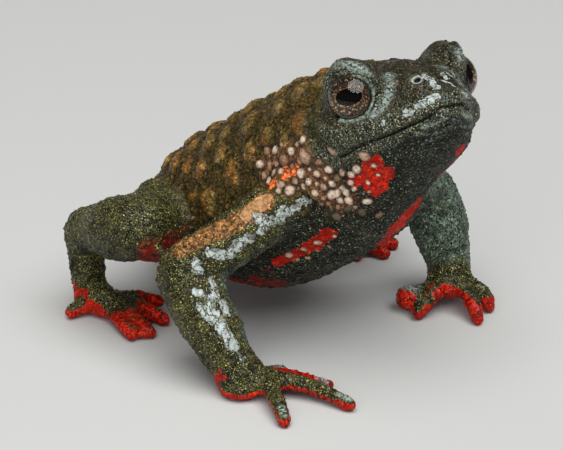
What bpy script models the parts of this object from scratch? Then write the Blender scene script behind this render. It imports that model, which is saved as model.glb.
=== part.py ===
"""Maldonada redbelly toad, life size, propped up on its front legs with its head raised.

The toad faces +X with its left side towards +Y, and the floor is z = 0. It is modelled whole, in
millimetres, from lofted trunk, head and limbs that are fused into one body. Warts, mouth, lids and
nostrils are then raised or sunk in its surface, and thin cuts part it where its limbs are jointed.
The finished pieces are turned into metres, with the origin on the floor under the middle of the box.
"""

import math

import bmesh
import bpy
import numpy as np
from mathutils import Matrix, Vector

MM = 0.001
GAP = 0.3                      # space left between neighbouring pieces
BOX_MIDDLE = (-3.545, 0.559)   # where the middle of the toad's box lies in the modelling frame

VOXEL = 0.15                   # grain of the fused body before it is thinned
BODY_TRIANGLES = 9000          # left after thinning
RING_SIDES = 20
RING_STEPS = 5
LEAST_EDGE = 0.0015            # shorter edges that the cuts leave are closed up

# Trunk, rear to front: middle of the section in X and Z, half width, half depth.
TRUNK = [
    (-12.8, 3.9, 2.5, 2.4),
    (-11.5, 4.6, 3.5, 3.15),
    (-9.3, 5.6, 4.4, 4.15),
    (-6.1, 6.7, 5.0, 5.0),
    (-3.75, 8.25, 4.7, 5.0),
    (-1.5, 9.95, 4.3, 4.95),
    (0.6, 11.5, 4.1, 4.7),
    (2.3, 12.85, 3.65, 3.65),
]

# The head has its own axes, which meet midway between the eyes.
HEAD_MIDDLE = (3.5, 0.5, 15.8)
HEAD_YAW = math.radians(-10.0)
HEAD_PITCH = math.radians(22.0)
HEAD_ROLL = math.radians(4.0)

# Head, nape to snout: place along the head, top, bottom, height of the widest line, half width.
HEAD = [
    (-4.2, 1.5, -6.3, -2.9, 3.7),
    (-2.2, 1.75, -5.6, -2.8, 3.95),
    (-0.6, 1.85, -4.8, -2.6, 3.85),
    (0.9, 1.9, -4.05, -2.15, 3.3),
    (2.1, 1.7, -3.3, -1.75, 2.7),
    (3.0, 1.35, -2.6, -1.35, 2.05),
    (3.6, 0.9, -2.05, -1.1, 1.6),
    (3.95, 0.4, -1.5, -0.9, 1.15),
]

# Eyes and brows, as places along, out and up from the head's middle.
EYE_RADIUS = 1.35
EYE_PLACE = (-0.25, 3.15, 0.2)
EYE_FACES = (0.62, 0.77, 0.12)         # the way the near lens looks, out and a little forwards
BROW_PLACE = (-0.4, 2.85, 0.42)
BROW_SIZE = (2.25, 1.45, 1.8)
LID_LEVEL = 0.78                       # height of the lids above the middle of the eyeball
LID_SLOPE = 0.12                       # how fast the skin falls away round the lids
LID_REACH = 2.0
LID_RIM = 0.1
SOCKET_RADIUS = EYE_RADIUS + GAP
NOSTRIL = (2.57, 0.92, 0.62)
NOSTRIL_RADIUS = 0.2
NOSTRIL_DEPTH = 0.35
NOSTRIL_RIM = 0.1
CANTHUS = [(1.3, 2.35, 0.95), (2.2, 1.85, 1.1), (3.0, 1.35, 1.05)]
CANTHUS_RIDGE = 0.12
CHEEK_HOLLOW = (1.9, 2.5, -0.3)
CHEEK_HOLLOW_DEPTH = 0.18
MOUTH_DEPTH = 0.36
MOUTH_WIDTH = 0.17
LIP_RISE = 0.1

# The line of the mouth in the head's axes, from the corner of the jaw to the front of the lips.
MOUTH = [
    (-1.0, 3.85, -2.65),
    (0.3, 3.4, -2.3),
    (1.4, 2.92, -1.92),
    (2.4, 2.3, -1.48),
    (3.1, 1.7, -1.17),
    (3.65, 0.84, -0.99),
    (3.95, 0.0, -0.88),
]

# Limbs: joint places and radii. "right" is the side at -Y.
ARMS = {
    "right": {
        "shoulder": (-0.6, -2.9, 9.7), "elbow": (-4.5, -8.2, 5.5), "wrist": (-0.6, -8.4, 1.6),
        "palm": (0.6, -8.0, 0.8), "heel_of_palm": (0.15, -8.5, 0.55),
        "fingers": {
            "first": [(0.3, -6.7, 0.6), (0.45, -5.6, 0.4)],
            "second": [(1.2, -6.5, 0.75), (2.3, -5.7, 0.55), (3.3, -5.0, 0.35)],
            "third": [(1.7, -7.0, 0.85), (3.6, -6.1, 0.7), (5.6, -5.7, 0.35)],
            "fourth": [(1.7, -7.9, 0.85), (3.2, -8.7, 0.75), (4.4, -9.4, 0.35)],
        },
    },
    "left": {
        "shoulder": (-0.6, 2.9, 9.7), "elbow": (-1.3, 7.9, 6.0), "wrist": (0.1, 8.0, 2.3),
        "palm": (0.6, 7.5, 1.4), "heel_of_palm": (0.3, 7.7, 1.0),
        "fingers": {
            "first": [(0.1, 6.3, 1.1), (-0.35, 5.3, 0.75)],
            "second": [(0.9, 6.7, 1.5), (1.0, 5.6, 1.1), (0.85, 4.7, 0.35)],
            "third": [(1.3, 7.3, 1.5), (2.6, 7.0, 1.2), (3.6, 6.6, 0.35)],
            "fourth": [(1.4, 8.1, 1.3), (2.5, 8.3, 1.0), (3.0, 8.2, 0.35)],
        },
        "thumb_ball": (-0.4, 5.15, 0.78),
    },
}
LEGS = {
    "right": {
        "hip": (-11.3, -2.4, 4.6), "knee": (-7.9, -8.3, 7.0), "heel": (-13.4, -7.3, 4.9),
        "sole": (-13.1, -7.3, 1.0), "instep": (-11.5, -7.2, 0.75),
        "toes": {
            "first": [(-11.8, -5.6, 0.6), (-10.5, -4.5, 0.4)],
            "second": [(-11.1, -6.2, 0.6), (-9.8, -5.9, 0.55), (-8.6, -5.8, 0.35)],
            "third": [(-10.9, -6.9, 0.65), (-9.3, -7.2, 0.6), (-8.0, -7.4, 0.35)],
            "fourth": [(-11.0, -7.5, 0.65), (-9.8, -8.0, 0.65), (-8.5, -8.3, 0.35)],
            "fifth": [(-12.7, -7.6, 0.6), (-12.9, -8.9, 0.4)],
        },
    },
    "left": {
        "hip": (-11.3, 2.4, 4.6), "knee": (-6.6, 8.6, 6.2), "heel": (-12.4, 8.2, 4.0),
        "sole": (-11.4, 8.5, 0.9), "instep": (-9.6, 8.9, 0.7),
        "toes": {
            "first": [(-9.9, 7.5, 0.6), (-8.6, 6.6, 0.4)],
            "second": [(-9.1, 8.1, 0.6), (-7.8, 7.9, 0.55), (-6.8, 7.8, 0.35)],
            "third": [(-8.8, 8.8, 0.65), (-7.3, 9.0, 0.6), (-5.9, 9.1, 0.35)],
            "fourth": [(-9.1, 9.4, 0.65), (-7.8, 10.0, 0.6), (-6.4, 10.4, 0.35)],
            "fifth": [(-10.9, 9.6, 0.6), (-10.7, 10.8, 0.4)],
        },
    },
}
UPPER_ARM_RADII = (1.75, 1.45, 1.45, 1.55)
FOREARM_RADII = (1.5, 1.65, 1.5, 1.25)
WRIST_RADII = (1.25, 1.2, 0.95)
PALM_SIZE = (1.3, 1.2, 0.75)
THUMB_BALL_SIZE = (0.68, 0.72, 0.78)
THIGH_RADII = (1.9, 2.15, 2.0, 1.7)
SHANK_RADII = (1.65, 1.8, 1.4, 1.15)
TARSUS_RADII = (1.15, 1.05, 0.95, 0.9)
SOLE_RADII = (0.95, 0.95, 0.85)
DIGIT_RADII = (0.55, 0.45, 0.42)

# Where the body is parted: place, the way the cut faces, radius of the cut.
NECK_CUT = (-2.7, 0.0, -2.2)
NECK_CUT_FACES = (0.97, 0.0, 0.22)
NECK_CUT_RADIUS = 5.6
LIMB_ROOT_RISE = 0.35          # how far outside the trunk's own surface the limbs are parted
SHOULDER_CUT = ((-2.4, 5.4, 8.0), (3.2, 3.2, 3.4))      # middle and half size of its region
HIP_CUT = ((-10.6, 5.0, 5.4), (4.2, 3.8, 5.0))
ELBOW_CUT_RADIUS = 2.4
WRIST_CUT_RADIUS = 1.75
KNEE_CUT_RADIUS = 4.5
KNEE_CUT_SHIFT = 2.0
HEEL_CUT_RADIUS = 2.0

WART_SEED = 7
WARTS = {                      # spacing, least and greatest radius, height
    "back": (1.4, 0.45, 0.75, 0.33),
    "crown": (1.5, 0.35, 0.45, 0.1),
    "limbs": (1.8, 0.35, 0.5, 0.12),
}
WART_STRETCH = 1.45            # how much longer than wide a wart of the back is

# The larger warts of the throat and shoulder, on both sides: place and radius.
THROAT_WARTS = [
    (0.66, 3.8, 12.59, 0.44), (2.25, 3.37, 13.5, 0.33), (4.17, 3.21, 13.5, 0.33),
    (-0.86, 3.99, 11.94, 0.33), (0.43, 4.03, 11.53, 0.32), (-0.11, 4.39, 10.45, 0.32),
    (2.05, 3.52, 10.8, 0.3), (2.92, 3.0, 10.67, 0.28), (3.41, 2.47, 10.7, 0.28),
    (3.64, 3.25, 12.6, 0.28), (2.26, 3.27, 10.98, 0.26), (2.25, 3.07, 9.52, 0.3),
]

SOLE_LEVEL = 0.0
BELLY_MIDDLE = (-6.1, 0.0, 6.7)
BACKWARD_SLOPE = (-0.6, 0.0, 0.8)      # straight out of the back, square to the spine
SPINE_WAY = (0.8, 0.0, 0.6)            # along the spine, towards the head
BODY_COLOUR = (0.055, 0.062, 0.035)
LIMB_COLOUR = (0.075, 0.085, 0.045)
EYE_COLOUR = (0.02, 0.012, 0.006)


def head_axes():
    """Forward, left and up directions of the head, as columns."""
    turn = (
        Matrix.Rotation(HEAD_YAW, 3, "Z")
        @ Matrix.Rotation(-HEAD_PITCH, 3, "Y")
        @ Matrix.Rotation(-HEAD_ROLL, 3, "X")
    )
    return turn


def head_point(along, out, up):
    return Vector(HEAD_MIDDLE) + head_axes() @ Vector((along, out, up))


def spline(points, steps):
    """Points along a smooth curve through the given rows of numbers."""
    rows = np.array(points, float)
    padded = np.vstack([2 * rows[0] - rows[1], rows, 2 * rows[-1] - rows[-2]])
    result = []
    for start in range(len(rows) - 1):
        a, b, c, d = padded[start:start + 4]
        for step in range(steps):
            t = step / steps
            result.append(0.5 * (
                2 * b + (c - a) * t + (2 * a - 5 * b + 4 * c - d) * t * t
                + (3 * b - a - 3 * c + d) * t ** 3
            ))
    result.append(rows[-1])
    return np.array(result)


def skin_rings(mesh, rings, ends):
    """Faces between successive rings of points, closed to a point at each end."""
    rows = [[mesh.verts.new(point) for point in ring] for ring in rings]
    count = len(rows[0])
    for lower, upper in zip(rows, rows[1:]):
        for index in range(count):
            after = (index + 1) % count
            mesh.faces.new((lower[index], lower[after], upper[after], upper[index]))
    first, last = (mesh.verts.new(end) for end in ends)
    for index in range(count):
        after = (index + 1) % count
        mesh.faces.new((first, rows[0][after], rows[0][index]))
        mesh.faces.new((last, rows[-1][index], rows[-1][after]))


def loft(mesh, sections, upright=(0.0, 0.0, 1.0), bulge=0.8):
    """A rounded body through sections of middle point, half width, upper and lower half depth."""
    rows = spline(sections, RING_STEPS)
    middles = rows[:, :3]
    slopes = np.gradient(middles, axis=0)
    rings = []
    for row, slope in zip(rows, slopes):
        rings.append(section_ring(row, slope, upright))
    for at_start in (True, False):
        row = rows[0] if at_start else rows[-1]
        slope = slopes[0] if at_start else slopes[-1]
        sign = -1.0 if at_start else 1.0
        reach = bulge * min(row[3], (row[4] + row[5]) / 2)
        step = slope / np.linalg.norm(slope) * sign * reach
        for turn in (0.4, 0.8, 1.2):
            shrunk = np.concatenate([row[:3] + step * math.sin(turn), row[3:] * math.cos(turn)])
            ring = section_ring(shrunk, slope, upright)
            if at_start:
                rings.insert(0, ring)
            else:
                rings.append(ring)
        if at_start:
            first = row[:3] + step
        else:
            last = row[:3] + step
    skin_rings(mesh, rings, (first, last))


def section_ring(row, slope, upright):
    middle, width, above, below = row[:3], row[3], row[4], row[5]
    ahead = slope / np.linalg.norm(slope)
    side = np.cross(np.array(upright, float), ahead)
    side /= np.linalg.norm(side)
    top = np.cross(ahead, side)
    ring = []
    for index in range(RING_SIDES):
        turn = 2 * math.pi * index / RING_SIDES
        rise = math.sin(turn)
        reach = above if rise > 0 else below
        ring.append(middle + side * width * math.cos(turn) + top * reach * rise)
    return ring


def limb(mesh, start, end, radii, upright=(0.0, 0.0, 1.0), bow=(0.0, 0.0, 0.0)):
    """A tapering tube between two joints, its middle moved by bow."""
    start, end, bow = Vector(start), Vector(end), Vector(bow)
    sections = []
    for index, radius in enumerate(radii):
        share = index / (len(radii) - 1)
        middle = start.lerp(end, share) + bow * math.sin(math.pi * share)
        sections.append((*middle, radius, radius, radius))
    loft(mesh, sections, upright)


def ellipsoid(mesh, middle, size, axes=None, segments=24):
    ball = bmesh.ops.create_uvsphere(
        mesh, u_segments=segments, v_segments=segments // 2 + 1, radius=1.0
    )["verts"]
    place = Matrix.Translation(Vector(middle)) @ (axes.to_4x4() if axes else Matrix.Identity(4))
    bmesh.ops.transform(mesh, matrix=place @ Matrix.Diagonal((*size, 1.0)), verts=ball)


def digit(mesh, root, points):
    """A finger or toe from its root through its knuckle to a rounded tip."""
    path = [root] + list(points)
    radii = np.interp(
        np.linspace(0, 1, len(path)), np.linspace(0, 1, len(DIGIT_RADII)), DIGIT_RADII
    )
    sections = [(*place, radius, radius, radius) for place, radius in zip(path, radii)]
    loft(mesh, sections, upright=(0.0, 0.0, 1.0), bulge=1.0)


def add_trunk(mesh, extra=0.0):
    """The trunk, or the same form grown by extra on every side."""
    sections = [
        (x, 0.0, z, width + extra, depth + extra, depth + extra) for x, z, width, depth in TRUNK
    ]
    loft(mesh, sections)


def add_head(mesh):
    turn = head_axes()
    sections = [
        (along, 0.0, widest, half, top - widest, widest - bottom)
        for along, top, bottom, widest, half in HEAD
    ]
    head = bmesh.new()
    loft(head, sections, bulge=0.35)
    for side in (1, -1):
        ellipsoid(head, (BROW_PLACE[0], side * BROW_PLACE[1], BROW_PLACE[2]), BROW_SIZE)
    place = Matrix.Translation(Vector(HEAD_MIDDLE)) @ turn.to_4x4()
    bmesh.ops.transform(head, matrix=place, verts=head.verts)
    copy_into(mesh, head)


def copy_into(mesh, part):
    holder = bpy.data.meshes.new("holder")
    part.to_mesh(holder)
    part.free()
    mesh.from_mesh(holder)
    bpy.data.meshes.remove(holder)


def add_arm(mesh, arm):
    limb(mesh, arm["shoulder"], arm["elbow"], UPPER_ARM_RADII)
    limb(mesh, arm["elbow"], arm["wrist"], FOREARM_RADII)
    limb(mesh, arm["wrist"], arm["palm"], WRIST_RADII)
    ellipsoid(mesh, arm["heel_of_palm"], PALM_SIZE)
    for points in arm["fingers"].values():
        digit(mesh, arm["palm"], points)
    if "thumb_ball" in arm:
        ellipsoid(mesh, arm["thumb_ball"], THUMB_BALL_SIZE)


def add_leg(mesh, leg):
    limb(mesh, leg["hip"], leg["knee"], THIGH_RADII)
    limb(mesh, leg["knee"], leg["heel"], SHANK_RADII)
    limb(mesh, leg["heel"], leg["sole"], TARSUS_RADII)
    limb(mesh, leg["sole"], leg["instep"], SOLE_RADII)
    for name, points in leg["toes"].items():
        digit(mesh, leg["sole"] if name == "fifth" else leg["instep"], points)


def apply_modifiers(thing):
    """The thing's mesh as its modifiers leave it, with the modifiers gone."""
    evaluated = thing.evaluated_get(bpy.context.evaluated_depsgraph_get())
    finished = bpy.data.meshes.new_from_object(evaluated)
    thing.modifiers.clear()
    thing.data = finished


def fused_body():
    """Trunk, head and limbs as one smooth closed surface."""
    mesh = bmesh.new()
    add_trunk(mesh)
    add_head(mesh)
    for side in ("right", "left"):
        add_arm(mesh, ARMS[side])
        add_leg(mesh, LEGS[side])
    bmesh.ops.recalc_face_normals(mesh, faces=mesh.faces)
    data = bpy.data.meshes.new("body")
    mesh.to_mesh(data)
    mesh.free()
    body = bpy.data.objects.new("body", data)
    bpy.context.scene.collection.objects.link(body)
    remesh = body.modifiers.new("fuse", "REMESH")
    remesh.mode = "VOXEL"
    remesh.voxel_size = VOXEL
    smooth = body.modifiers.new("soften", "SMOOTH")
    smooth.factor = 0.5
    smooth.iterations = 6
    apply_modifiers(body)
    return body


def vertex_rows(body):
    """Places and outward directions of the body's vertices."""
    places = np.empty(len(body.data.vertices) * 3)
    outward = np.empty(len(body.data.vertices) * 3)
    body.data.vertices.foreach_get("co", places)
    body.data.vertices.foreach_get("normal", outward)
    return places.reshape(-1, 3), outward.reshape(-1, 3)


def move_vertices(body, places):
    body.data.vertices.foreach_set("co", places.ravel())
    body.data.update()


def in_head_axes(places):
    return (places - np.array(HEAD_MIDDLE)) @ np.array(head_axes())


def bell(distance, width):
    return np.exp(-((distance / width) ** 2))


def ramp(value, low, high):
    share = np.clip((value - low) / (high - low), 0.0, 1.0)
    return share * share * (3.0 - 2.0 * share)


def seat_the_lids(places):
    """Skin near each eye is drawn down to a shallow cone about the way the eye faces."""
    turn = np.array(head_axes())
    for side in (1, -1):
        middle = np.array(head_point(EYE_PLACE[0], side * EYE_PLACE[1], EYE_PLACE[2]))
        facing = turn @ np.array((EYE_FACES[0], side * EYE_FACES[1], EYE_FACES[2]))
        facing /= np.linalg.norm(facing)
        offset = places - middle
        height = offset @ facing
        spread = np.linalg.norm(offset - np.outer(height, facing), axis=1)
        rim = LID_RIM * bell(spread - EYE_RADIUS - GAP, 0.2)
        allowed = LID_LEVEL - LID_SLOPE * np.maximum(spread - EYE_RADIUS, 0.0) + rim
        near = (spread < LID_REACH) & (height > 0.0)
        share = 1.0 - ramp(spread, 1.7, LID_REACH)
        fall = np.where(near & (height > allowed), (allowed - height) * share, 0.0)
        places += np.outer(fall, facing)
    return places


def shape_the_face(body):
    """Lids, mouth line, lips, nostrils and the ridge from eye to nostril."""
    places, outward = vertex_rows(body)
    places = seat_the_lids(places)
    head = in_head_axes(places)
    along, out, up = head[:, 0], np.abs(head[:, 1]), head[:, 2]
    line = np.array(MOUTH)
    above = up - np.interp(along, line[:, 0], line[:, 2])
    on_face = ramp(along, MOUTH[0][0] - 0.3, MOUTH[0][0] + 0.4)
    rise = -MOUTH_DEPTH * bell(above, MOUTH_WIDTH) * on_face
    rise += LIP_RISE * bell(above - 0.5, 0.3) * on_face
    rise -= LIP_RISE * bell(above + 0.55, 0.3) * on_face
    folded = np.stack([along, out, up], axis=1)
    from_nostril = np.linalg.norm(folded - np.array(NOSTRIL), axis=1)
    rise += NOSTRIL_RIM * bell(from_nostril, 2 * NOSTRIL_RADIUS)
    ridge = spline(CANTHUS, RING_STEPS)
    from_ridge = np.min([np.linalg.norm(folded - point, axis=1) for point in ridge], axis=0)
    rise += CANTHUS_RIDGE * bell(from_ridge, 0.4)
    from_hollow = np.linalg.norm(folded - np.array(CHEEK_HOLLOW), axis=1)
    rise -= CHEEK_HOLLOW_DEPTH * bell(from_hollow, 1.0)
    move_vertices(body, places + outward * rise[:, None])


def wart_regions(places):
    """For each kind of wart, the vertices where it grows."""
    head = in_head_axes(places)
    along, out, up = head[:, 0], np.abs(head[:, 1]), head[:, 2]
    spine = np.array(TRUNK)
    above = (places - np.array(BELLY_MIDDLE)) @ np.array(BACKWARD_SLOPE)
    trunk = (np.abs(places[:, 1]) < spine[:, 2].max() + 0.6) & (along < -2.6)
    back = trunk & (above > -1.2) & (places[:, 2] > 3.0)
    face = along > -2.6
    eye = np.array(EYE_PLACE)
    from_eye = np.linalg.norm(np.stack([along, out, up], axis=1) - eye, axis=1)
    crown = face & (up > 1.0) & (along < 2.2) & (from_eye > SOCKET_RADIUS + 0.5)
    limbs = ~trunk & ~face & (places[:, 2] > 2.4)
    return {"back": back, "crown": crown, "limbs": limbs}


def wart_rise(places, middle, radius, height, way):
    """How far a wart lifts the skin; it is drawn out along the given way, if that has a length."""
    offset = places - middle
    stretched = (1.0 - WART_STRETCH ** -2) * (offset @ way) ** 2
    from_middle = ((offset ** 2).sum(axis=1) - stretched) / radius ** 2
    return height * np.clip(1.0 - from_middle, 0.0, None) ** 0.8


def raise_warts(body):
    """Rounded warts: those of the throat in their places, the others spread in seeded order."""
    places, outward = vertex_rows(body)
    draw = np.random.default_rng(WART_SEED)
    rise = np.zeros(len(places))
    for kind, where in wart_regions(places).items():
        spacing, least, greatest, height = WARTS[kind]
        chosen = []
        for index in draw.permutation(np.flatnonzero(where)):
            if chosen and np.min(np.linalg.norm(places[chosen] - places[index], axis=1)) < spacing:
                continue
            chosen.append(index)
        for index in chosen:
            way = np.cross(SPINE_WAY, outward[index]) if kind == "back" else np.zeros(3)
            radius = draw.uniform(least, greatest)
            lift = height * draw.uniform(0.75, 1.15)
            rise = np.maximum(rise, wart_rise(places, places[index], radius, lift, way))
    for side in (1, -1):
        for along, out, up, radius in THROAT_WARTS:
            place = np.array((along, side * out, up))
            nearest = int(np.argmin(np.linalg.norm(places - place, axis=1)))
            lifted = wart_rise(places, places[nearest], radius, 0.5 * radius, np.zeros(3))
            rise = np.maximum(rise, lifted)
    move_vertices(body, places + outward * rise[:, None])


def thin_out(body):
    triangles = sum(len(face.vertices) - 2 for face in body.data.polygons)
    thinner = body.modifiers.new("thin", "DECIMATE")
    thinner.ratio = BODY_TRIANGLES / triangles
    apply_modifiers(body)


def eye_centres():
    return {
        "right": head_point(EYE_PLACE[0], -EYE_PLACE[1], EYE_PLACE[2]),
        "left": head_point(EYE_PLACE[0], EYE_PLACE[1], EYE_PLACE[2]),
    }


def disc(mesh, middle, normal, radius):
    """A thin round blade."""
    turn = Vector(normal).to_track_quat("Z", "Y").to_matrix().to_4x4()
    place = Matrix.Translation(Vector(middle)) @ turn
    bmesh.ops.create_cone(
        mesh, cap_ends=True, segments=20, radius1=radius, radius2=radius, depth=GAP, matrix=place
    )


def joint_blade(mesh, upper, joint, lower, radius, into_fold=0.0):
    """A blade across a joint, between the two bones that meet there."""
    upper, joint, lower = Vector(upper), Vector(joint), Vector(lower)
    to_upper = (upper - joint).normalized()
    to_lower = (lower - joint).normalized()
    fold = to_upper + to_lower
    fold = fold.normalized() if fold.length > 0.1 else Vector()
    disc(mesh, joint + fold * into_fold, to_upper - to_lower, radius)


def blades():
    """Every cut that parts the body, as one set of separate thin discs."""
    mesh = bmesh.new()
    neck_facing = head_axes() @ Vector(NECK_CUT_FACES)
    disc(mesh, head_point(*NECK_CUT), neck_facing, NECK_CUT_RADIUS)
    for side in ("right", "left"):
        arm, leg = ARMS[side], LEGS[side]
        joint_blade(mesh, arm["shoulder"], arm["elbow"], arm["wrist"], ELBOW_CUT_RADIUS)
        joint_blade(mesh, arm["elbow"], arm["wrist"], arm["palm"], WRIST_CUT_RADIUS)
        joint_blade(mesh, leg["hip"], leg["knee"], leg["heel"], KNEE_CUT_RADIUS, KNEE_CUT_SHIFT)
        joint_blade(mesh, leg["knee"], leg["heel"], leg["sole"], HEEL_CUT_RADIUS)
    return mesh


def cutter_object(name, mesh):
    bmesh.ops.recalc_face_normals(mesh, faces=mesh.faces)
    data = bpy.data.meshes.new(name)
    mesh.to_mesh(data)
    mesh.free()
    cutter = bpy.data.objects.new(name, data)
    bpy.context.scene.collection.objects.link(cutter)
    return cutter


def combine(body, mesh, operation):
    cutter = cutter_object("cutter", mesh)
    cut = body.modifiers.new("cut", "BOOLEAN")
    cut.operation = operation
    cut.solver = "MANIFOLD"
    cut.object = cutter
    bpy.context.view_layer.update()
    apply_modifiers(body)
    bpy.data.objects.remove(cutter)


def cut_away(body, mesh):
    combine(body, mesh, "DIFFERENCE")


def limb_root_blades():
    """Thin curved blades that follow the flank where each limb leaves the trunk."""
    outer, inner, regions = bmesh.new(), bmesh.new(), bmesh.new()
    add_trunk(outer, LIMB_ROOT_RISE + GAP)
    add_trunk(inner, LIMB_ROOT_RISE)
    for middle, half in (SHOULDER_CUT, HIP_CUT):
        for side in (1, -1):
            block = bmesh.ops.create_cube(regions, size=2.0)["verts"]
            place = Matrix.Translation((middle[0], side * middle[1], middle[2]))
            bmesh.ops.transform(regions, matrix=place @ Matrix.Diagonal((*half, 1.0)), verts=block)
    blade = cutter_object("limb_root_blades", outer)
    cut_away(blade, inner)
    combine(blade, regions, "INTERSECT")
    mesh = bmesh.new()
    mesh.from_mesh(blade.data)
    bpy.data.objects.remove(blade)
    return mesh


def floor_block():
    mesh = bmesh.new()
    bmesh.ops.create_cube(mesh, size=1.0)
    size, thickness = 60.0, 4.0
    bmesh.ops.transform(mesh, matrix=Matrix.Diagonal((size, size, thickness, 1.0)), verts=mesh.verts)
    bmesh.ops.translate(mesh, vec=(0.0, 0.0, SOLE_LEVEL - thickness / 2), verts=mesh.verts)
    return mesh


def hollows(body):
    """Balls that hollow out the eye sockets and, at the surface, the nostrils."""
    mesh = bmesh.new()
    for middle in eye_centres().values():
        ellipsoid(mesh, middle, (SOCKET_RADIUS,) * 3)
    places, outward = vertex_rows(body)
    for side in (1, -1):
        nostril = np.array(head_point(NOSTRIL[0], side * NOSTRIL[1], NOSTRIL[2]))
        nearest = int(np.argmin(np.linalg.norm(places - nostril, axis=1)))
        facing = Vector(outward[nearest]).to_track_quat("Z", "Y").to_matrix()
        size = (NOSTRIL_RADIUS, NOSTRIL_RADIUS, NOSTRIL_DEPTH)
        ellipsoid(mesh, places[nearest], size, facing, segments=10)
    return mesh


def loose_parts(data):
    """The closed surfaces of a mesh, each as its own list of faces' vertex indices."""
    parent = list(range(len(data.vertices)))

    def root(index):
        while parent[index] != index:
            parent[index] = parent[parent[index]]
            index = parent[index]
        return index

    for edge in data.edges:
        first, second = root(edge.vertices[0]), root(edge.vertices[1])
        parent[first] = second
    parts = {}
    for face in data.polygons:
        parts.setdefault(root(face.vertices[0]), []).append(tuple(face.vertices))
    return list(parts.values())


def piece_marks():
    """A point well inside each piece of the parted body."""
    marks = {"head": head_point(1.0, 0.0, -1.5), "torso": Vector(BELLY_MIDDLE)}
    for side in ("right", "left"):
        arm, leg = ARMS[side], LEGS[side]
        marks[side + "_upper_arm"] = Vector(arm["shoulder"]).lerp(Vector(arm["elbow"]), 0.7)
        marks[side + "_forearm"] = Vector(arm["elbow"]).lerp(Vector(arm["wrist"]), 0.5)
        marks[side + "_hand"] = Vector(arm["palm"])
        marks[side + "_thigh"] = Vector(leg["hip"]).lerp(Vector(leg["knee"]), 0.7)
        marks[side + "_shank"] = Vector(leg["knee"]).lerp(Vector(leg["heel"]), 0.6)
        marks[side + "_foot"] = Vector(leg["sole"])
    return marks


def finish_piece(name, data, colour, roughness):
    """Names a piece, turns it into metres about the origin and gives it its material."""
    shift = Matrix.Translation(Vector((-BOX_MIDDLE[0], -BOX_MIDDLE[1], 0.0)))
    data.transform(Matrix.Scale(MM, 4) @ shift)
    data.name = name
    piece = bpy.data.objects.new(name, data)
    bpy.context.scene.collection.objects.link(piece)
    data.shade_smooth()
    material = bpy.data.materials.new(name + "_skin")
    material.use_nodes = True
    shader = material.node_tree.nodes["Principled BSDF"]
    shader.inputs["Base Color"].default_value = (*colour, 1.0)
    shader.inputs["Roughness"].default_value = roughness
    shader.inputs["Metallic"].default_value = 0.0
    data.materials.clear()
    data.materials.append(material)
    return piece


def close_short_edges(data):
    """Merges points that lie closer together than the least edge."""
    mesh = bmesh.new()
    mesh.from_mesh(data)
    bmesh.ops.triangulate(mesh, faces=mesh.faces)
    bmesh.ops.remove_doubles(mesh, verts=mesh.verts, dist=LEAST_EDGE)
    bmesh.ops.dissolve_degenerate(mesh, edges=mesh.edges, dist=LEAST_EDGE / 2)
    bare = [edge for edge in mesh.edges if not edge.link_faces]
    bmesh.ops.delete(mesh, geom=bare, context="EDGES")
    mesh.to_mesh(data)
    mesh.free()


def part_the_body(body):
    """Each mark claims the loose surface that lies nearest to it; scraps are dropped."""
    places = np.array([vertex.co for vertex in body.data.vertices])
    parts = sorted(loose_parts(body.data), key=len, reverse=True)
    marks = piece_marks()
    middles = [places[sorted({v for face in part for v in face})] for part in parts]
    claimed = {}
    for name, mark in marks.items():
        gaps = [np.min(np.linalg.norm(rows - np.array(mark), axis=1)) for rows in middles]
        claimed[name] = int(np.argmin(gaps))
    for name, number in claimed.items():
        faces = parts[number]
        used = sorted({v for face in faces for v in face})
        renumber = {old: new for new, old in enumerate(used)}
        data = bpy.data.meshes.new(name)
        data.from_pydata(
            places[used].tolist(), [], [[renumber[v] for v in face] for face in faces]
        )
        close_short_edges(data)
        colour = BODY_COLOUR if name in ("head", "torso") else LIMB_COLOUR
        finish_piece(name, data, colour, 0.5)


def make_eyes():
    for side, middle in eye_centres().items():
        mesh = bmesh.new()
        ellipsoid(mesh, middle, (EYE_RADIUS,) * 3, segments=18)
        data = bpy.data.meshes.new(side + "_eye")
        mesh.to_mesh(data)
        mesh.free()
        finish_piece(side + "_eye", data, EYE_COLOUR, 0.05)


def main():
    for thing in list(bpy.data.objects):
        bpy.data.objects.remove(thing)
    body = fused_body()
    shape_the_face(body)
    raise_warts(body)
    thin_out(body)
    cut_away(body, floor_block())
    cut_away(body, hollows(body))
    cut_away(body, limb_root_blades())
    cut_away(body, blades())
    part_the_body(body)
    bpy.data.objects.remove(body)
    make_eyes()


main()
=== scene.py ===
import math

import bmesh
import bpy
import numpy as np
from mathutils import Matrix, Vector
from mathutils.bvhtree import BVHTree


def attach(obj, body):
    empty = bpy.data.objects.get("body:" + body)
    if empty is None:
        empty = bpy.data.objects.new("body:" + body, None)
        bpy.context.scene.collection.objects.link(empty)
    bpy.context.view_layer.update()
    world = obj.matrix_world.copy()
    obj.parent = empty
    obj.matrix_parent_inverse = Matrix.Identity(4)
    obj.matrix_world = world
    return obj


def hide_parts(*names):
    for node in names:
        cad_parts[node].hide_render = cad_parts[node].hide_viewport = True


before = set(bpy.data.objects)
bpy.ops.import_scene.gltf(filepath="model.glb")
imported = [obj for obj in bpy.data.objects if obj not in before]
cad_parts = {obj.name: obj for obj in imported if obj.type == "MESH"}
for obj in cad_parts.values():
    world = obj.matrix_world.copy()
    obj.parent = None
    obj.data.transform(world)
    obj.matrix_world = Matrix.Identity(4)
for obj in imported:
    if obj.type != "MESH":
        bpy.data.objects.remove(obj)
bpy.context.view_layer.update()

# Sizes and places are in millimetres. Places are in the toad's modelling frame, which is the row
# frame moved by BOX_MIDDLE along X and Y. A name ending in BY_HEAD is in the head's own axes:
# along towards the snout, out to the side, and up.
MM = 0.001
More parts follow.
